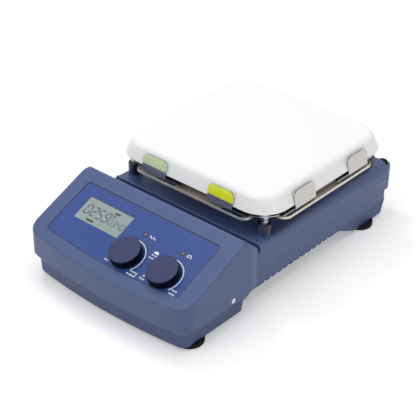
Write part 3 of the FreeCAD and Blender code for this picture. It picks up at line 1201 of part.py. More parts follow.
def build_stirrer():
    """The rotor's cover and, under it, the magnets, their holder, the shaft, its bearing and the motor."""
    cover_top = "deck_height + cover_rise"
    inner_top = cover_top + " - sheet_thickness"
    cover = turned("cover", [
        ("cover_radius", "deck_height"), ("cover_flange", "deck_height"),
        ("cover_flange", "deck_height + sheet_thickness"),
        ("cover_radius + sheet_thickness", "deck_height + sheet_thickness", "cover_foot_round"),
        ("cover_radius + sheet_thickness", cover_top, "cover_round + sheet_thickness"), ("0", cover_top),
        ("0", inner_top), ("cover_radius", inner_top, "cover_round"),
    ])
    place(cover, *on_plate())
    holes = drums("cover_holes", COVER_SPOTS, "screw_radius + gap", "deck_height - bite",
                  "deck_height + bite + sheet_thickness")
    node("rotor_cover", cut("cover_drilled", cover, holes))
    node("cover_screws", screws("cover_screw", COVER_SPOTS, "deck_height + sheet_thickness",
                                "wall + sheet_thickness", "screw_head", "screw_radius", False))
    bracket = place(prism("bracket_plate", rounded_square("bracket_half", "bracket_corner"),
                          "bracket_height", BRACKET_TOP), *on_plate())
    through = ("bracket_height - bite", BRACKET_TOP + " + bite")
    node("motor_bracket", cut("bracket", bracket,
                              drum("bearing_seat", "bearing_radius", *through, *on_plate()),
                              drums("bracket_holes", BRACKET_SPOTS, "screw_radius + gap", *through)))
    node("bracket_screws", screws("bracket_screw", BRACKET_SPOTS, "bracket_height",
                                  "bracket_thickness + screw_depth", "screw_head", "screw_radius", True))
    bearing = drum("bearing_ring", "bearing_radius", "bracket_height", BRACKET_TOP, *on_plate())
    bore = "shaft_radius + running"
    shaft_foot = "motor_foot + wall"
    node("motor_bearing", cut("bearing", bearing, drum("bearing_bore", bore, *through, *on_plate())))
    motor = turned("motor_can", [("0", "motor_foot"), ("motor_radius", "motor_foot", "motor_round"),
                                 ("motor_radius", "bracket_height"), ("0", "bracket_height")])
    place(motor, *on_plate())
    node("motor_body", cut("motor", motor, drum("motor_bore", bore, shaft_foot, "bracket_height + bite",
                                                *on_plate())))
    hub_low = BRACKET_TOP + " + hub_gap"
    bar_top = "holder_foot + wall"
    node("motor_shaft", drum("motor_spindle", "shaft_radius", shaft_foot + " + gap", bar_top, *on_plate()))
    bar = prism("holder_bar", rectangle("-holder_length / 2", "-holder_width / 2", "holder_length / 2",
                                        "holder_width / 2", "holder_width / 2 - gap"), "holder_foot", bar_top)
    place(bar, *on_plate())
    hub = drum("holder_hub", "hub_radius", hub_low, bar_top, *on_plate())
    seat = drum("holder_bore", "shaft_radius", hub_low + " - bite", bar_top + " + bite", *on_plate())
    node("magnet_holder", cut("holder", join("holder_solid", bar, hub), seat))
    spots = [on_plate("magnet_offset"), on_plate("-magnet_offset")]
    node("magnets", drums("magnet_pair", spots, "magnet_radius", bar_top, bar_top + " + magnet_height"))


def build_power():
    """The power board with what stands on it."""
    half_width, half_length = "power_width / 2", "power_length / 2"
    board = prism("power_sheet", rectangle("-" + half_width, "power_y - " + half_length, half_width,
                                           "power_y + " + half_length, "window_corner"),
                  "power_height", POWER_TOP)
    drill(board, "power_holes", [(x, y, "screw_radius + gap") for x, y in POWER_SPOTS], "power_height",
          POWER_TOP)
    node("power_board", board)
    node("power_screws", screws("power_screw", POWER_SPOTS, POWER_TOP, "board_thickness + screw_depth - bite",
                                "screw_head", "screw_radius", False))
    core = middle_block("transformer_core", ("transformer_x", "power_y", POWER_TOP),
                        ("transformer_width", "transformer_length", "transformer_height"))
    coil = middle_block("transformer_coil", ("transformer_x", "power_y", POWER_TOP + " + wall"),
                        ("transformer_width * coil_share", "transformer_length + 2 * wall",
                         "transformer_height - 2 * wall"))
    node("power_transformer", join("transformer", core, coil))
    node("terminal_block", middle_block("terminals", ("0", "plate_y + lead_y", POWER_TOP),
                                        ("terminal_width", "terminal_length", "terminal_top - " + POWER_TOP)))
    relay = middle_block("relay", ("relay_x", "power_y + relay_y", POWER_TOP), ("relay_width", "relay_length",
                                                                               "relay_height"))
    capacitors = drums("capacitors", [("relay_x - capacitor_pitch / 2", "power_y - relay_y"),
                                      ("relay_x + capacitor_pitch / 2", "power_y - relay_y")],
                       "capacitor_radius", POWER_TOP, POWER_TOP + " + capacitor_height")
    node("power_parts", group("power_part_set", relay, capacitors))


def rear_plate(name, x, width, height, low, high, *radius):
    """A rectangle in the rear wall's plane about a fitting's middle, between two depths behind the wall."""
    return prism(name, rectangle("%s - (%s) / 2" % (x, width), "rear_middle - (%s) / 2" % height,
                                 "%s + (%s) / 2" % (x, width), "rear_middle + (%s) / 2" % height, *radius),
                 "-rear_y - (%s)" % high, "-rear_y - (%s)" % low, "XZ_Plane")


def build_inlet():
    """The mains inlet with its pins, and the fuse drawer over it."""
    body = join("inlet_solid",
                rear_plate("inlet_flange", "inlet_x", "inlet_width + 2 * flange_rim",
                           "inlet_height + 2 * flange_rim", "0", "flange_thickness", "flange_rim"),
                rear_plate("inlet_body", "inlet_x", "inlet_width", "inlet_height", "-inlet_depth",
                           "flange_thickness / 2"))
    face = "(rear_y + flange_thickness)"
    plug_room = prism("plug_room", [
        ("inlet_x - plug_width / 2 + plug_bevel", "plug_low"),
        ("inlet_x + plug_width / 2 - plug_bevel", "plug_low"),
        ("inlet_x + plug_width / 2", "plug_low + plug_bevel"),
        ("inlet_x + plug_width / 2", "plug_low + plug_height"),
        ("inlet_x - plug_width / 2", "plug_low + plug_height"),
        ("inlet_x - plug_width / 2", "plug_low + plug_bevel"),
    ], "-%s - bite" % face, "plug_depth - " + face, "XZ_Plane")
    drawer_low = "drawer_z"
    room = block("drawer_room", ("inlet_x - drawer_width / 2 - gap", face + " - drawer_depth - gap",
                                 drawer_low + " - gap"),
                 ("drawer_width + 2 * gap", "drawer_depth + cut_margin", "drawer_height + 2 * gap"))
    node("mains_inlet", cut("inlet", body, plug_room, room))
    pins = []
    for number, (x, z) in enumerate((("inlet_x", "plug_low + plug_height * pin_high"),
                                     ("inlet_x - pin_pitch", "plug_low + plug_height * pin_low"),
                                     ("inlet_x + pin_pitch", "plug_low + plug_height * pin_low"))):
        low = (x + " - pin_width / 2", face + " - plug_depth", z + " - pin_height / 2")
        pins.append(block("pin_%d" % number, low, ("pin_width", "pin_length", "pin_height")))
    node("inlet_pins", group("pin_set", *pins))
    drawer = block("drawer_block", ("inlet_x - drawer_width / 2", face + " - drawer_depth", drawer_low),
                   ("drawer_width", "drawer_depth", "drawer_height"))
    grip = block("drawer_grip", ("inlet_x - drawer_width / 2", face, drawer_low),
                 ("drawer_width", "grip_depth", "drawer_height * grip_share"))
    spots = [("inlet_x - fuse_pitch / 2", "drawer_z + drawer_height - fuse_radius"),
             ("inlet_x + fuse_pitch / 2", "drawer_z + drawer_height - fuse_radius")]
    start = face + " - drawer_depth + fuse_margin"
    troughs = [block("trough_%d" % number, (x + " - fuse_radius - gap", start + " - gap", z + " - fuse_radius"),
                     ("2 * (fuse_radius + gap)", "fuse_length + 2 * gap", "drawer_height"))
               for number, (x, z) in enumerate(spots)]
    node("fuse_drawer", cut("drawer", join("drawer_solid", drawer, grip), *troughs))
    fuses = [level_drum("fuse_%d" % number, "fuse_radius", (x, start, z), "fuse_length", V(-1, 0, 0))
             for number, (x, z) in enumerate(spots)]
    node("fuses", group("fuse_set", *fuses))


def build_switch():
    """The mains switch: a snapped-in body and the rocker that tilts in it."""
    pivot = "(rear_y - rocker_pivot)"
    solid = join("switch_solid",
                 rear_plate("switch_flange", "switch_x", "switch_width + 2 * flange_rim",
                            "switch_height + 2 * flange_rim", "0", "flange_thickness", "flange_rim"),
                 rear_plate("switch_block", "switch_x", "switch_width", "switch_height", "-switch_depth",
                            "flange_thickness / 2"))
    well = level_drum("rocker_well", "rocker_radius + gap",
                      ("switch_x - rocker_width / 2 - gap", pivot, "rear_middle"), "rocker_width + 2 * gap",
                      V(0, 1, 0))
    ears = level_drum("trunnion_holes", "trunnion_radius + running",
                      ("switch_x - rocker_width / 2 - trunnion_length - gap", pivot, "rear_middle"),
                      "rocker_width + 2 * (trunnion_length + gap)", V(0, 1, 0))
    node("switch_body", cut("switch", solid, well, ears))
    disc = level_drum("rocker_disc", "rocker_radius", ("switch_x - rocker_width / 2", "0", "0"),
                      "rocker_width", V(0, 1, 0))
    face = middle_block("rocker_face", ("switch_x", "rocker_low / 2 + rocker_high / 2", "-rocker_radius"),
                        ("rocker_width * 2", "rocker_high - rocker_low", "2 * rocker_radius"))
    trunnions = level_drum("trunnions", "trunnion_radius",
                           ("switch_x - rocker_width / 2 - trunnion_length", "0", "0"),
                           "rocker_width + 2 * trunnion_length", V(0, 1, 0))
    rocker = join("rocker", meet("rocker_shape", disc, face), trunnions)
    node("switch_rocker", place(rocker, "0", pivot, "rear_middle", turn=V(-1, 0, 0), angle="rocker_tilt"))


def build_sockets():
    """The sensor socket and the serial port in the rear wall."""
    middle = "rear_middle"
    out = V(-1, 0, 0)
    solid = join("socket_solid",
                 level_drum("socket_flange", "socket_radius + flange_rim", ("socket_x", "rear_y", middle),
                            "flange_thickness", out),
                 level_drum("socket_barrel", "socket_radius", ("socket_x", "rear_y - socket_depth", middle),
                            "socket_depth + flange_thickness / 2", out))
    floor = "rear_y - socket_room_depth"
    room = level_drum("socket_room", "socket_radius - socket_wall", ("socket_x", floor, middle),
                      "socket_room_depth + cut_margin", out)
    pins = []
    for number in range(5):
        turn = "%d" % (45 * number - 90)
        pins.append(level_drum("contact_%d" % number, "contact_radius",
                               ("socket_x + socket_radius * contact_ring * sin(%s)" % turn, floor + " - bite",
                                "rear_middle - socket_radius * contact_ring * cos(%s)" % turn),
                               "socket_room_depth - bite", out))
    node("sensor_socket", join("socket", cut("socket_shell", solid, room), *pins))
    shell = join("port_solid",
                 rear_plate("port_flange", "port_x", "port_flange_width", "port_flange_height", "0",
                            "port_flange_thickness", "window_corner"),
                 rear_plate("port_body", "port_x", "port_width", "port_height", "-port_depth",
                            "port_flange_thickness / 2"),
                 rear_plate("port_shell", "port_x", "port_shell_width", "port_shell_height",
                            "port_flange_thickness / 2", "port_reach", "port_shell_round"))
    hollow = rear_plate("port_hollow", "port_x", "port_shell_width - 2 * sheet_thickness",
                        "port_shell_height - 2 * sheet_thickness", "port_flange_thickness",
                        "port_reach + bite", "port_shell_round - sheet_thickness")
    jacks = [level_drum("jack_%d" % number, "jack_radius", (x, "rear_y", middle), "port_reach", out)
             for number, x in enumerate(("port_x - jack_offset", "port_x + jack_offset"))]
    node("serial_port", join("port", cut("port_hollowed", shell, hollow), *jacks))


def build_rod_plug():
    """The rubber plug that closes the support rod's socket."""
    top = "rod_boss_top + plug_rise"
    plug = turned("plug", [
        ("0", "rod_boss_top - plug_shank"), ("plug_shank_radius", "rod_boss_top - plug_shank", "gap"),
        ("plug_shank_radius", "rod_boss_top"), ("plug_radius", "rod_boss_top"),
        ("plug_radius", top, "plug_rise - gap"), ("0", top),
    ])
    node("rod_plug", place(plug, "rod_x", "rod_y"))


build_housing()
build_base()
build_feet()
build_display()
build_control("heat")
build_control("stir")
build_case_screws()
build_plate()
build_sheets()
build_stirrer()
build_power()
build_inlet()
build_switch()
build_sockets()
build_rod_plug()
doc.recompute()

for item in doc.Objects:
    if "Invalid" in item.State or "Error" in item.State:
        raise RuntimeError("%s failed: %s" % (item.Name, item.State))
    if item.TypeId == "Sketcher::SketchObject" and not item.FullyConstrained:
        raise RuntimeError("%s isn't fully constrained" % item.Name)
for item in NODES:
    if item.Shape.isNull() or not item.Shape.isValid() or not item.Shape.Solids:
        raise RuntimeError("%s has no valid shape" % item.Label)

os.makedirs("parts", exist_ok=True)
for item in NODES:
    item.Shape.exportStep("parts/%s.step" % item.Label)
whole = FreeCAD.BoundBox()
for item in NODES:
    whole.add(item.Shape.optimalBoundingBox())
    print(item.Label, len(item.Shape.Solids), round(item.Shape.Volume))
print(len(NODES), "pieces", whole)
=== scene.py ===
"""The hotplate stirrer in Blender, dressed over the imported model. Lengths in mm are turned to metres."""
import math

import bpy
from mathutils import Matrix, Vector


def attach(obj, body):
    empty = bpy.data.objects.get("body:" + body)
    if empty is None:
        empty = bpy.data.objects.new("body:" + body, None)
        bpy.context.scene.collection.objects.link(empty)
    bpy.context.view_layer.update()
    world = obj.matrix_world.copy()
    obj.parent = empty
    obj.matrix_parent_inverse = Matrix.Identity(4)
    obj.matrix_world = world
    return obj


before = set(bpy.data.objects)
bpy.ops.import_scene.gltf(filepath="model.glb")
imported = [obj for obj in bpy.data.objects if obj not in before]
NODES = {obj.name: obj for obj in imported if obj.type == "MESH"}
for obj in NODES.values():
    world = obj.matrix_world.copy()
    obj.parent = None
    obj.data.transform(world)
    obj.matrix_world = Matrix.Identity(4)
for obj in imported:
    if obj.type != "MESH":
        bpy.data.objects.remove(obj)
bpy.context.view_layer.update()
MM = 0.001

# The control panel's plane, in mm, from the middle of its front edge
BOX_FRONT_Y = -180.0
BOX_FRONT_HEIGHT = 51.2
PANEL_SETBACK = 16.3
SLOPE_ANGLE = math.radians(23.2)
PANEL_FRONT_HEIGHT = BOX_FRONT_HEIGHT + PANEL_SETBACK * math.tan(SLOPE_ANGLE)
SLOPE_ORIGIN = Vector((0, BOX_FRONT_Y + PANEL_SETBACK, PANEL_FRONT_HEIGHT))
SLOPE_UP = Vector((0, math.cos(SLOPE_ANGLE), math.sin(SLOPE_ANGLE)))
SLOPE_OUT = Vector((0, -math.sin(SLOPE_ANGLE), math.cos(SLOPE_ANGLE)))

# What stands on the panel: across from its middle and up the slope
HEAT_X, STIR_X, KNOB_UP, LAMP_UP = 11.3, 60.0, 15.0, 43.0
WINDOW_LOW, WINDOW_HIGH = (-71.8, 25.6), (-12.6, 53.6)

# The overlay's outline, with a bowed front edge
PANEL_HALF, PANEL_TOP, PANEL_CORNER = 88.65, 67.25, 4.0
PANEL_BOW, PANEL_SAG = 740.0, 4.8

# Heights of what is printed, out of the panel's plane
PRINT_LOW = -0.3
PRINT_HIGH = PRINT_LOW + 0.06
LAYER = 0.01

# Where the shaded post seats and the edges of the tabs are, in metres
SEATS_ACROSS, SEATS_ALONG, SEATS_HIGH = (-0.094, 0.094), (-0.042, 0.15), (0.0685, 0.09)
TAB_EDGES_HIGH = (0.0915, 0.13)

# Noise drawn out along one axis, for fine lines in metal
BRUSHED = (1, 60, 60)


def on_slope(x, up, out=0.0):
    """A point of the control panel's plane in metres: across, up the slope and out of it."""
    return (SLOPE_ORIGIN + Vector((x, 0, 0)) + SLOPE_UP * up + SLOPE_OUT * out) * MM


def srgb(red, green, blue):
    """A screen colour of 0 to 255 as linear numbers."""
    return tuple((part / 255 / 12.92) if part <= 10 else ((part / 255 + 0.055) / 1.055) ** 2.4
                 for part in (red, green, blue))


def times(colour, factor):
    """A colour made lighter or darker by a factor."""
    return tuple(min(part * factor, 1.0) for part in colour)


class Surface:
    """A procedural material: mottled colour, grain in the roughness and a fine bump."""

    def __init__(self, name):
        self.material = bpy.data.materials.new(name)
        self.material.use_nodes = True
        self.tree = self.material.node_tree
        self.shader = self.tree.nodes["Principled BSDF"]
        self.place = self.tree.nodes.new("ShaderNodeTexCoord").outputs["Object"]

    def link(self, source, target):
        self.tree.links.new(source, target)

    def noise(self, scale, detail=3.0, stretch=None):
        place = self.place
        if stretch:
            mapping = self.tree.nodes.new("ShaderNodeMapping")
            mapping.inputs["Scale"].default_value = stretch
            self.link(place, mapping.inputs["Vector"])
            place = mapping.outputs["Vector"]
        node = self.tree.nodes.new("ShaderNodeTexNoise")
        node.inputs["Scale"].default_value = scale
        node.inputs["Detail"].default_value = detail
        self.link(place, node.inputs["Vector"])
        return node.outputs["Fac"]

    def mix(self, factor, first, second):
        """A mix of two colours, each a tuple or a socket."""
        node = self.tree.nodes.new("ShaderNodeMix")
        node.data_type = "RGBA"
        for socket, colour in (("A_Color", first), ("B_Color", second)):
            entry = next(item for item in node.inputs if item.identifier == socket)
            if isinstance(colour, tuple):
                entry.default_value = colour[:3] + (1,)
            else:
                self.link(colour, entry)
        self.link(factor, next(item for item in node.inputs if item.identifier == "Factor_Float"))
        return next(item for item in node.outputs if item.identifier == "Result_Color")

    def ranged(self, source, low, high, start=0.35, end=0.65):
        """low at start and below, high at end and above."""
        node = self.tree.nodes.new("ShaderNodeMapRange")
        for socket, number in (("From Min", start), ("From Max", end), ("To Min", low), ("To Max", high)):
            node.inputs[socket].default_value = number
        self.link(source, node.inputs["Value"])
        return node.outputs["Result"]

    def product(self, first, second):
        node = self.tree.nodes.new("ShaderNodeMath")
        node.operation = "MULTIPLY"
        self.link(first, node.inputs[0])
        self.link(second, node.inputs[1])
        return node.outputs["Value"]

    def within(self, source, limits, fade=0.002):
        """1 between two limits, down to 0 over fade on either side."""
        low, high = limits
        above = self.ranged(source, 0, 1, low - fade, low)
        below = self.ranged(source, 1, 0, high, high + fade)
        return self.product(above, below)

    def split(self, name):
        """The three parts of the shape's position or normal."""
        shape = self.tree.nodes.new("ShaderNodeNewGeometry")
        node = self.tree.nodes.new("ShaderNodeSeparateXYZ")
        self.link(shape.outputs[name], node.inputs[0])
        return node.outputs

    def set(self, **values):
        for name, number in values.items():
            self.shader.inputs[name.replace("_", " ")].default_value = number

    def mottled(self, base, spread, mottle):
        return self.mix(mottle, times(base, 1 - spread), times(base, 1 + spread))

    def paint(self, colour):
        self.link(colour, self.shader.inputs["Base Color"])

    def colour(self, base, spread=0.04, scale=40.0):
        self.paint(self.mottled(base, spread, self.ranged(self.noise(scale), 0, 1)))

    def roughness(self, rough, spread=0.05, scale=300.0, stretch=None):
        self.link(self.ranged(self.noise(scale, 2.0, stretch), rough - spread, rough + spread),
                  self.shader.inputs["Roughness"])

    def bump(self, strength, depth, scale, detail=2.0, stretch=None):
        node = self.tree.nodes.new("ShaderNodeBump")
        node.inputs["Strength"].default_value = strength
        node.inputs["Distance"].default_value = depth
        self.link(self.noise(scale, detail, stretch), node.inputs["Height"])
        self.link(node.outputs["Normal"], self.shader.inputs["Normal"])


def plain(name, base, rough, grain=600.0, depth=0.00004, strength=0.2, spread=0.04, uneven=0.06, **values):
    """A moulded, painted or rubber surface with a fine grain."""
    surface = Surface(name)
    surface.colour(base, spread)
    surface.roughness(rough, min(uneven, rough / 3), grain / 2)
    surface.bump(strength, depth, grain)
    surface.set(**values)
    return surface.material


def metal(name, base, rough, metallic=1.0):
    """A drawn or ground metal with fine lines along one axis."""
    surface = Surface(name)
    surface.colour(base, 0.05, 30.0)
    surface.roughness(rough, rough / 3, 40.0, BRUSHED)
    surface.bump(0.12, 0.00002, 40.0, 3.0, BRUSHED)
    surface.set(Metallic=metallic)
    return surface.material


def clear(name, base, alpha, rough=0.05):
    """A clear cover that lets what is under it show."""
    surface = Surface(name)
    surface.colour(base, 0.02)
    surface.roughness(rough, 0.02)
    surface.set(Alpha=alpha, IOR=1.5)
    return surface.material


def knob_surface():
    """Soft-touch plastic with painted shade: faces that turn away from the panel's normal are painted much
    darker than the crown.
    """
    surface = Surface("knob_plastic")
    shape = surface.tree.nodes.new("ShaderNodeNewGeometry")
    dot = surface.tree.nodes.new("ShaderNodeVectorMath")
    dot.operation = "DOT_PRODUCT"
    dot.inputs[1].default_value = SLOPE_OUT
    surface.link(shape.outputs["Normal"], dot.inputs[0])
    facing = surface.ranged(dot.outputs["Value"], 0, 1, 0.45, 0.9)
    crown = surface.mottled(KNOB_CROWN_LIT, 0.05, surface.ranged(surface.noise(500.0), 0, 1))
    surface.paint(surface.mix(facing, KNOB_SIDE_SHADE, crown))
    surface.roughness(0.42, 0.05, 400.0)
    surface.bump(0.25, 0.00004, 900.0)
    surface.set(Specular_IOR_Level=0.06)
    return surface.material


def housing_surface():
    """Textured paint, darker on the post seats in the plate's shade."""
    surface = Surface("housing_paint")
    place = surface.split("Position")
    shaded = surface.within(place["X"], SEATS_ACROSS)
    shaded = surface.product(shaded, surface.within(place["Y"], SEATS_ALONG))
    shaded = surface.product(shaded, surface.within(place["Z"], SEATS_HIGH, 0.001))
    body = surface.mottled(PAINT, 0.03, surface.ranged(surface.noise(40.0), 0, 1))
    surface.paint(surface.mix(shaded, body, SEAT_SHADE))
    surface.roughness(0.42, 0.06, 450.0)
    surface.bump(0.35, 0.00005, 900.0)
    return surface.material


def clip_surface():
    """Stainless strip with dark top edges on its tabs."""
    surface = Surface("stainless")
    upward = surface.ranged(surface.split("Normal")["Z"], 0, 1, 0.5, 0.7)
    edge = surface.product(surface.within(surface.split("Position")["Z"], TAB_EDGES_HIGH), upward)
    lines = surface.ranged(surface.noise(40.0, 3.0, BRUSHED), 0, 1)
    surface.paint(surface.mix(edge, surface.mottled(CLIP_STEEL, 0.04, lines), DARK))
    surface.roughness(0.26, 0.08, 40.0, BRUSHED)
    surface.set(Metallic=1.0)
    return surface.material


# Colours as linear numbers
PAINT = (0.06, 0.094, 0.218)
SEAT_SHADE = (0.003, 0.005, 0.014)
CLIP_STEEL = (0.53, 0.51, 0.49)
# The knob's crown and side are lit and shaded copies of one plastic; the side's near black is painted shade.
KNOB_CROWN_LIT = (0.062, 0.068, 0.145)
KNOB_SIDE_SHADE = (0.0012, 0.0025, 0.009)
DARK = (0.012, 0.012, 0.014)

# The materials of the outside, then those of the metal parts and the inside
painted = housing_surface()
base_plastic = plain("base_plastic", (0.052, 0.079, 0.18), 0.5, grain=700.0, depth=0.00006, strength=0.4)
overlay_film = plain("overlay_film", (0.0205, 0.061, 0.25), 0.34, grain=1500.0, depth=0.00002, strength=0.2)
print_white = plain("print_white", srgb(235, 238, 245), 0.45, grain=1200.0)
print_dark = plain("lcd_ink", srgb(74, 66, 68), 0.4, grain=1200.0)
# A brown of the LCD's print; the same brown paints the shade under the window's upper edge.
brown_print_and_shade = plain("lcd_brown", srgb(98, 88, 74), 0.4, grain=1200.0)
# Painted shadow: a dark blue for the shadow line round the overlay's edge.
edge_shadow_dark = plain("edge_shadow_dark", srgb(22, 30, 66), 0.6, grain=1200.0)
lcd_face = plain("lcd_face", (0.27, 0.34, 0.33), 0.22, grain=1500.0, depth=0.00001, strength=0.1, spread=0.03)
lcd_edge = plain("lcd_edge", (0.42, 0.5, 0.4), 0.25, grain=1500.0, strength=0.1)
white_enamel = plain("white_enamel", (0.9, 0.9, 0.9), 0.3, grain=1500.0, depth=0.00001, strength=0.01,
                     spread=0.001, uneven=0.01)
black_rubber = plain("black_rubber", (0.004, 0.004, 0.005), 0.75, grain=500.0, depth=0.00008, strength=0.5,
                     Specular_IOR_Level=0.2)
dark_plastic = plain("dark_plastic", DARK, 0.45, grain=800.0)
lamp_red = plain("lamp_red", srgb(98, 90, 72), 0.3, Coat_Weight=0.2)
lamp_green = plain("lamp_green", srgb(94, 93, 78), 0.3, Coat_Weight=0.2)
film_pale = plain("film_pale", (0.73, 0.85, 0.52), 0.2, grain=700.0, depth=0.00001, Coat_Weight=0.3)
film_yellow = plain("film_yellow", (0.9, 1.0, 0.012), 0.2, grain=700.0, depth=0.00001, Coat_Weight=0.3)
stainless = clip_surface()
stainless_tray = metal("stainless_tray", (0.74, 0.68, 0.6), 0.45, metallic=0.6)
bright_steel = plain("bright_steel", (0.85, 0.85, 0.86), 0.25, grain=900.0, Metallic=0.4)
screw_steel = metal("screw_steel", (0.42, 0.42, 0.43), 0.3)
dark_steel = metal("dark_steel", (0.3, 0.3, 0.31), 0.35)
aluminium = metal("aluminium", (0.62, 0.63, 0.64), 0.35)
brass = metal("brass", (0.72, 0.5, 0.22), 0.3)
board_green = plain("board_green", (0.012, 0.09, 0.04), 0.4, grain=300.0)
mat_fibre = plain("mat_fibre", (0.7, 0.66, 0.56), 0.95, grain=250.0, depth=0.0004, strength=0.8)
foil = metal("foil", (0.42, 0.33, 0.22), 0.35)
fuse_glass = clear("fuse_glass", (0.7, 0.75, 0.75), 0.4)
rocker_red = plain("rocker_red", (0.35, 0.01, 0.008), 0.25, grain=700.0)
knob_plastic = knob_surface()

# What each node wears
DRESS = {
    "upper_housing": painted, "base_tray": base_plastic, "control_overlay": overlay_film,
    "display_window": lcd_face, "display_glass": dark_plastic, "display_backlight": white_enamel,
    "control_board": board_green, "power_board": board_green, "board_screws": screw_steel,
    "base_screws": screw_steel, "side_screws": bright_steel, "foot_screws": screw_steel,
    "cover_screws": screw_steel, "bracket_screws": screw_steel, "power_screws": screw_steel,
    "post_nuts": screw_steel, "heat_encoder": dark_steel, "stir_encoder": dark_steel,
    "heat_plunger": dark_plastic, "stir_plunger": dark_plastic, "terminal_block": dark_plastic,
    "power_parts": dark_plastic, "mains_inlet": dark_plastic, "fuse_drawer": dark_plastic,
    "switch_body": dark_plastic, "sensor_socket": dark_plastic, "heat_shaft": dark_steel,
    "stir_shaft": dark_steel, "motor_shaft": screw_steel, "motor_bearing": dark_steel,
    "heat_knob": knob_plastic, "stir_knob": knob_plastic, "heat_lamp": lamp_red, "stir_lamp": lamp_green,
    "rubber_feet": black_rubber, "deck_grommet": black_rubber, "rod_plug": black_rubber,
    "heating_plate": white_enamel, "plate_core": aluminium, "motor_bracket": aluminium,
    "heating_element": foil, "insulation_mat": mat_fibre, "clip_frame": stainless,
    "heat_shield_tray": stainless_tray, "rotor_cover": stainless_tray, "plate_posts": screw_steel,
    "post_spacers": screw_steel, "tab_film_left": film_pale, "tab_film_right": film_yellow,
    "heater_leads": mat_fibre, "temperature_probe": dark_steel, "motor_body": dark_steel,
    "power_transformer": dark_steel, "magnet_holder": aluminium, "magnets": screw_steel,
    "inlet_pins": brass, "fuses": fuse_glass, "switch_rocker": rocker_red, "serial_port": screw_steel,
}
for node_name, entry in DRESS.items():
    mesh = NODES[node_name].data
    mesh.materials.clear()
    mesh.materials.append(entry)


def prints(name, outlines, high, material):
    """Flat marks on the control panel, from closed outlines (across, up) that run counter-clockwise."""
    points, faces = [], []
    for outline in outlines:
        start, count = len(points), len(outline)
        points += [on_slope(x, up, high) for x, up in outline]
        points += [on_slope(x, up, PRINT_LOW) for x, up in outline]
        faces.append(tuple(range(start, start + count)))
        faces.append(tuple(range(start + 2 * count - 1, start + count - 1, -1)))
        for index in range(count):
            after = (index + 1) % count
            faces.append((start + index, start + count + index, start + count + after, start + after))
    marks = bpy.data.meshes.new(name)
    marks.from_pydata(points, [], faces)
    marks.update()
    marks.materials.append(material)
    piece = bpy.data.objects.new(name, marks)
    bpy.context.scene.collection.objects.link(piece)
    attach(piece, "housing")


def arc_points(x, up, radius, start, end, steps):
    """Points on a circle between two angles in degrees."""
    turns = [math.radians(start + (end - start) * index / steps) for index in range(steps + 1)]
    return [(x + radius * math.cos(turn), up + radius * math.sin(turn)) for turn in turns]


def ring_part(x, up, radius, width, start=0, end=359.9, steps=48):
    """The outline of a part of a ring between two angles in degrees."""
    outer = arc_points(x, up, radius + width / 2, start, end, steps)
    inner = arc_points(x, up, radius - width / 2, start, end, steps)
    return outer + inner[::-1]


def bar(x, up, length, width, turn=0.0):
    """The outline of a straight stroke about its middle."""
    along = Vector((math.cos(math.radians(turn)), math.sin(math.radians(turn)))) * length / 2
    across = Vector((-along.y, along.x)).normalized() * width / 2
    middle = Vector((x, up))
    low_side = (middle - along - across, middle + along - across)
    high_side = (middle + along + across, middle - along + across)
    return [tuple(corner) for corner in low_side + high_side]


def word_mark(x, up, length, height, pitch=1.45):
    """A row of small blocks that stands for a printed word; x and up are its middle."""
    count = max(2, round(length / pitch))
    step = length / count
    shapes = []
    for index in range(count):
        tall = height * (1.0 if index % 3 == 0 else 0.72)
        middle = x - length / 2 + (index + 0.5) * step
        shapes.append(bar(middle, up - (height - tall) / 2, tall, step * 0.62, 90))
    return shapes


def wave_mark(x, up, length, rise, steps=28, half_width=0.5):
    """A ribbon that waves twice, for heat."""
    upper, lower = [], []
    for index in range(steps + 1):
        along = x - length / 2 + length * index / steps
        level = up + rise * math.sin(4 * math.pi * index / steps)
        upper.append((along, level + half_width))
        lower.append((along, level - half_width))
    return lower + upper[::-1]


def dome_mark(x, up, half_width, height):
    """Half an ellipse that stands on its flat side."""
    turns = [math.radians(degrees) for degrees in range(0, 181, 10)]
    return [(x + half_width * math.cos(turn), up + height * math.sin(turn)) for turn in turns]


# The scale arc round each knob ends at its own angle
SCALE_RADIUS, SCALE_WIDTH, SCALE_START = 18.75, 0.95, -39
SCALE_ENDS = {HEAT_X: 98, STIR_X: 103}
scales = [ring_part(x, KNOB_UP, SCALE_RADIUS, SCALE_WIDTH, SCALE_START, end) for x, end in SCALE_ENDS.items()]
prints("knob_scales", scales, PRINT_HIGH, print_white)

# Printed words beside the lamps and knobs: across, up, length and height of each
WORDS = [
    (70.6, 42.2, 2.6, 1.5),
    (36.6, 27.4, 7.0, 1.5),
    (36.0, 23.9, 7.4, 1.6),
    (-4.1, 0.9, 4.8, 2.1),
    (30.2, 2.7, 8.6, 1.9),
    (30.0, -1.2, 10.8, 1.9),
    (42.9, 0.7, 6.2, 1.8),
    (80.8, 5.1, 6.2, 1.9),
    (80.5, 1.0, 7.0, 1.7),
]


def panel_marks():
    """The heat wave, the turning arrow, the dome, the degree ring, a divider and the words."""
    heat_wave = wave_mark(20.9, LAMP_UP, 8.2, 0.9)
    turning_ring = ring_part(67.4, 42.9, 1.35, 0.75, 50, 330, 24)
    arrow_head = [(68.0, 43.9), (70.6, 43.6), (69.4, 45.4)]
    dome = dome_mark(36.6, 29.6, 3.0, 2.9)
    divider = bar(34.9, 0.9, 4.4, 0.6, 90)
    degree_ring = ring_part(42.7, 4.3, 0.8, 0.7, steps=16)
    marks = [heat_wave, turning_ring, arrow_head, dome, divider, degree_ring]
    for word in WORDS:
        marks += word_mark(*word)
    return marks


prints("panel_marks", panel_marks(), PRINT_HIGH, print_white)

SEGMENTS = {"0": "abcdef", "2": "abged", "3": "abgcd", "4": "fgbc", "5": "afgcd", "9": "abcdfg"}
DIGIT_LEAN = 0.15


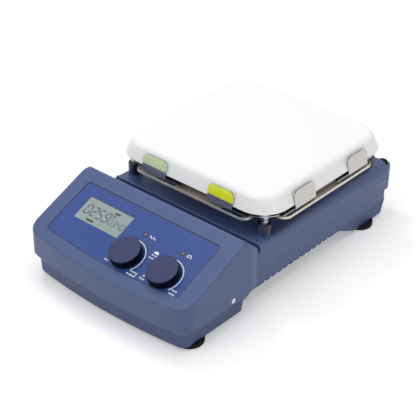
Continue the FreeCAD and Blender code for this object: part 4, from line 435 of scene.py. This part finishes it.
def digit(text, x, up, width, height, stroke):
    """The outlines of a seven-segment digit whose lower left corner is at x, up."""
    half = height / 2
    flat, upright = width - stroke, half - stroke
    strokes = {
        "a": (width / 2, height, flat, 0), "g": (width / 2, half, flat, 0), "d": (width / 2, 0, flat, 0),
        "f": (0, half * 1.5, upright, 90), "b": (width, half * 1.5, upright, 90),
        "e": (0, half / 2, upright, 90), "c": (width, half / 2, upright, 90),
    }
    shapes = []
    for name in SEGMENTS[text]:
        across, rise, length, turn = strokes[name]
        shapes.append([(x + along + level * DIGIT_LEAN, level + up)
                       for along, level in bar(across, rise, length, stroke, turn)])
    return shapes


def number(text, x, up, pitch, width, height, stroke):
    """A row of digits."""
    shapes = []
    for index, letter in enumerate(text):
        shapes += digit(letter, x + index * pitch, up, width, height, stroke)
    return shapes


big_number = number("0259", -67.8, 34.1, 8.5, 5.5, 11.2, 1.25)
small_number = number("0340", -34.1, 34.2, 5.5, 3.4, 6.7, 0.8)
decimal_point = bar(-42.2, 34.3, 1.4, 1.4)
degree_sign = ring_part(-32.0, 44.9, 1.3, 0.95, steps=20)
display_digits = big_number + [decimal_point, degree_sign] + small_number
prints("display_digits", display_digits, PRINT_HIGH, print_dark)

# Two small bars, over and under the digits, each with a word on it
upper_bar = word_mark(-30.7, 48.7, 6.8, 3.0, 1.1) + [bar(-30.7, 48.6, 6.8, 2.0)]
lower_bar = word_mark(-53.1, 29.1, 9.6, 3.2, 1.1) + [bar(-53.1, 29.0, 9.6, 2.2)]
prints("display_bars", upper_bar + lower_bar, PRINT_HIGH - LAYER, brown_print_and_shade)


def display_edges(rim=0.55):
    """Pale strips along the window's lower edge and sides."""
    (x_low, up_low), (x_high, up_high) = WINDOW_LOW, WINDOW_HIGH
    middle = (up_low + up_high) / 2
    tall = up_high - up_low - 2 * rim
    return [
        bar((x_low + x_high) / 2, up_low + rim / 2, x_high - x_low, rim),
        bar(x_low + rim / 2, middle, tall, rim, 90),
        bar(x_high - rim / 2, middle, tall, rim, 90),
    ]


def display_shade(width=0.8):
    """The shade under the window's upper edge."""
    (x_low, _), (x_high, up_high) = WINDOW_LOW, WINDOW_HIGH
    return [bar((x_low + x_high) / 2, up_high - width / 2, x_high - x_low, width)]


prints("display_edge", display_edges(), PRINT_HIGH, lcd_edge)
prints("display_shade", display_shade(), PRINT_HIGH + LAYER, brown_print_and_shade)


def panel_edge(inset, front_steps=24, corner_steps=8):
    """The overlay's outline, drawn in by inset."""
    half, corner, radius = PANEL_HALF - inset, PANEL_CORNER - inset, PANEL_BOW - inset
    middle = PANEL_BOW - PANEL_SAG
    side = math.sqrt((radius - corner) ** 2 - (half - corner) ** 2)
    lean = math.degrees(math.atan2(half - corner, side))
    front = arc_points(0, middle, radius, -90 - lean, -90 + lean, front_steps)
    low_corner = arc_points(half - corner, middle - side, corner, lean - 90, 0, corner_steps)[1:]
    high_corner = arc_points(half - corner, PANEL_TOP - inset - corner, corner, 0, 90, corner_steps)
    right = low_corner + high_corner
    left = [(-x, up) for x, up in right][::-1]
    return front + right + left


def panel_edge_shadow():
    """Painted shadow: the dark line round the overlay's edge, in short pieces."""
    outer_edge, inner_edge = panel_edge(-0.1), panel_edge(0.75)
    count = len(outer_edge)
    pieces = []
    for index in range(count):
        after = (index + 1) % count
        pieces.append([outer_edge[index], outer_edge[after], inner_edge[after], inner_edge[index]])
    return pieces


# The line round the overlay's edge is painted shadow, laid over the print.
prints("panel_edge_shadow", panel_edge_shadow(), PRINT_HIGH - 2 * LAYER, edge_shadow_dark)


def seen_directly(tree):
    """1 for camera, glossy and transmission rays."""
    path = tree.nodes.new("ShaderNodeLightPath")
    total = path.outputs["Is Camera Ray"]
    for name in ("Is Glossy Ray", "Is Transmission Ray"):
        node = tree.nodes.new("ShaderNodeMath")
        node.operation = "MAXIMUM"
        tree.links.new(total, node.inputs[0])
        tree.links.new(path.outputs[name], node.inputs[1])
        total = node.outputs["Value"]
    return total


def build_world(level):
    """White where it is seen, and an even light of the given level on everything else."""
    world = bpy.data.worlds.new("studio")
    bpy.context.scene.world = world
    world.use_nodes = True
    tree = world.node_tree
    tree.nodes.clear()
    mix = tree.nodes.new("ShaderNodeMixShader")
    tree.links.new(seen_directly(tree), mix.inputs[0])
    for index, strength in ((1, level), (2, 1.0)):
        node = tree.nodes.new("ShaderNodeBackground")
        node.inputs["Color"].default_value = (1, 1, 1, 1)
        node.inputs["Strength"].default_value = strength
        tree.links.new(node.outputs[0], mix.inputs[index])
    output = tree.nodes.new("ShaderNodeOutputWorld")
    tree.links.new(mix.outputs[0], output.inputs[0])


def floor_surface(lift):
    """A pale floor that is lifted to white where it is seen."""
    material = bpy.data.materials.new("studio_floor")
    material.use_nodes = True
    tree = material.node_tree
    tree.nodes.clear()
    diffuse = tree.nodes.new("ShaderNodeBsdfDiffuse")
    diffuse.inputs["Color"].default_value = (0.8, 0.8, 0.8, 1)
    glow = tree.nodes.new("ShaderNodeEmission")
    glow.inputs["Strength"].default_value = lift
    both = tree.nodes.new("ShaderNodeAddShader")
    tree.links.new(diffuse.outputs[0], both.inputs[0])
    tree.links.new(glow.outputs[0], both.inputs[1])
    mix = tree.nodes.new("ShaderNodeMixShader")
    tree.links.new(seen_directly(tree), mix.inputs[0])
    tree.links.new(diffuse.outputs[0], mix.inputs[1])
    tree.links.new(both.outputs[0], mix.inputs[2])
    output = tree.nodes.new("ShaderNodeOutputMaterial")
    tree.links.new(mix.outputs[0], output.inputs[0])
    return material


def build_floor(half, lift):
    corners = [(-half, -half, 0), (half, -half, 0), (half, half, 0), (-half, half, 0)]
    sheet = bpy.data.meshes.new("floor")
    sheet.from_pydata(corners, [], [(0, 1, 2, 3)])
    sheet.materials.append(floor_surface(lift))
    floor = bpy.data.objects.new("floor", sheet)
    bpy.context.scene.collection.objects.link(floor)


# Soft boxes over the bench: place and side in metres, watts, and whether surfaces mirror them
SOFTBOXES = {
    "top_softbox": ((0.1, 0.1, 1.7), 1.4, 10.5, True),
    "key_softbox": ((-1.0, 0.2, 1.6), 0.45, 6.0, False),
    "front_softbox": ((-0.3, -1.5, 1.5), 1.2, 9.5, True),
    "side_softbox": ((1.9, 0.0, 0.9), 1.0, 5.0, True),
}
SOFTBOX_TARGET = Vector((0.0, 0.0, 0.05))


def build_softbox(name, place, side, power, mirrored):
    data = bpy.data.lights.new(name, "AREA")
    data.size = side
    data.energy = power
    item = bpy.data.objects.new(name, data)
    item.location = place
    direction = SOFTBOX_TARGET - Vector(place)
    item.rotation_euler = direction.to_track_quat("-Z", "Y").to_euler()
    item.visible_glossy = mirrored
    bpy.context.scene.collection.objects.link(item)


# The camera, in mm and degrees, found from the photograph
CAMERA_PLACE, CAMERA_TARGET = Vector((725.4, -856.7, 749.3)), Vector((-53.4, 42.2, 0))
CAMERA_ROLL, CAMERA_LENS, SENSOR_WIDTH = 0.69, 109.6, 36


def build_camera():
    data = bpy.data.cameras.new("camera")
    data.sensor_width = SENSOR_WIDTH
    data.lens = CAMERA_LENS
    data.clip_end = 50
    place = CAMERA_PLACE * MM
    forward = (CAMERA_TARGET * MM - place).normalized()
    right = forward.cross(Vector((0, 0, 1))).normalized()
    up = right.cross(forward)
    roll = math.radians(CAMERA_ROLL)
    rolled_right = right * math.cos(roll) + up * math.sin(roll)
    rolled_up = up * math.cos(roll) - right * math.sin(roll)
    turn = Matrix((rolled_right, rolled_up, -forward)).transposed().to_4x4()
    item = bpy.data.objects.new("camera", data)
    item.matrix_world = Matrix.Translation(place) @ turn
    bpy.context.scene.collection.objects.link(item)
    bpy.context.scene.camera = item


build_world(level=0.42)
build_floor(half=8.0, lift=0.3)
for softbox, settings in SOFTBOXES.items():
    build_softbox(softbox, *settings)
build_camera()
bpy.context.scene.view_settings.view_transform = "Standard"
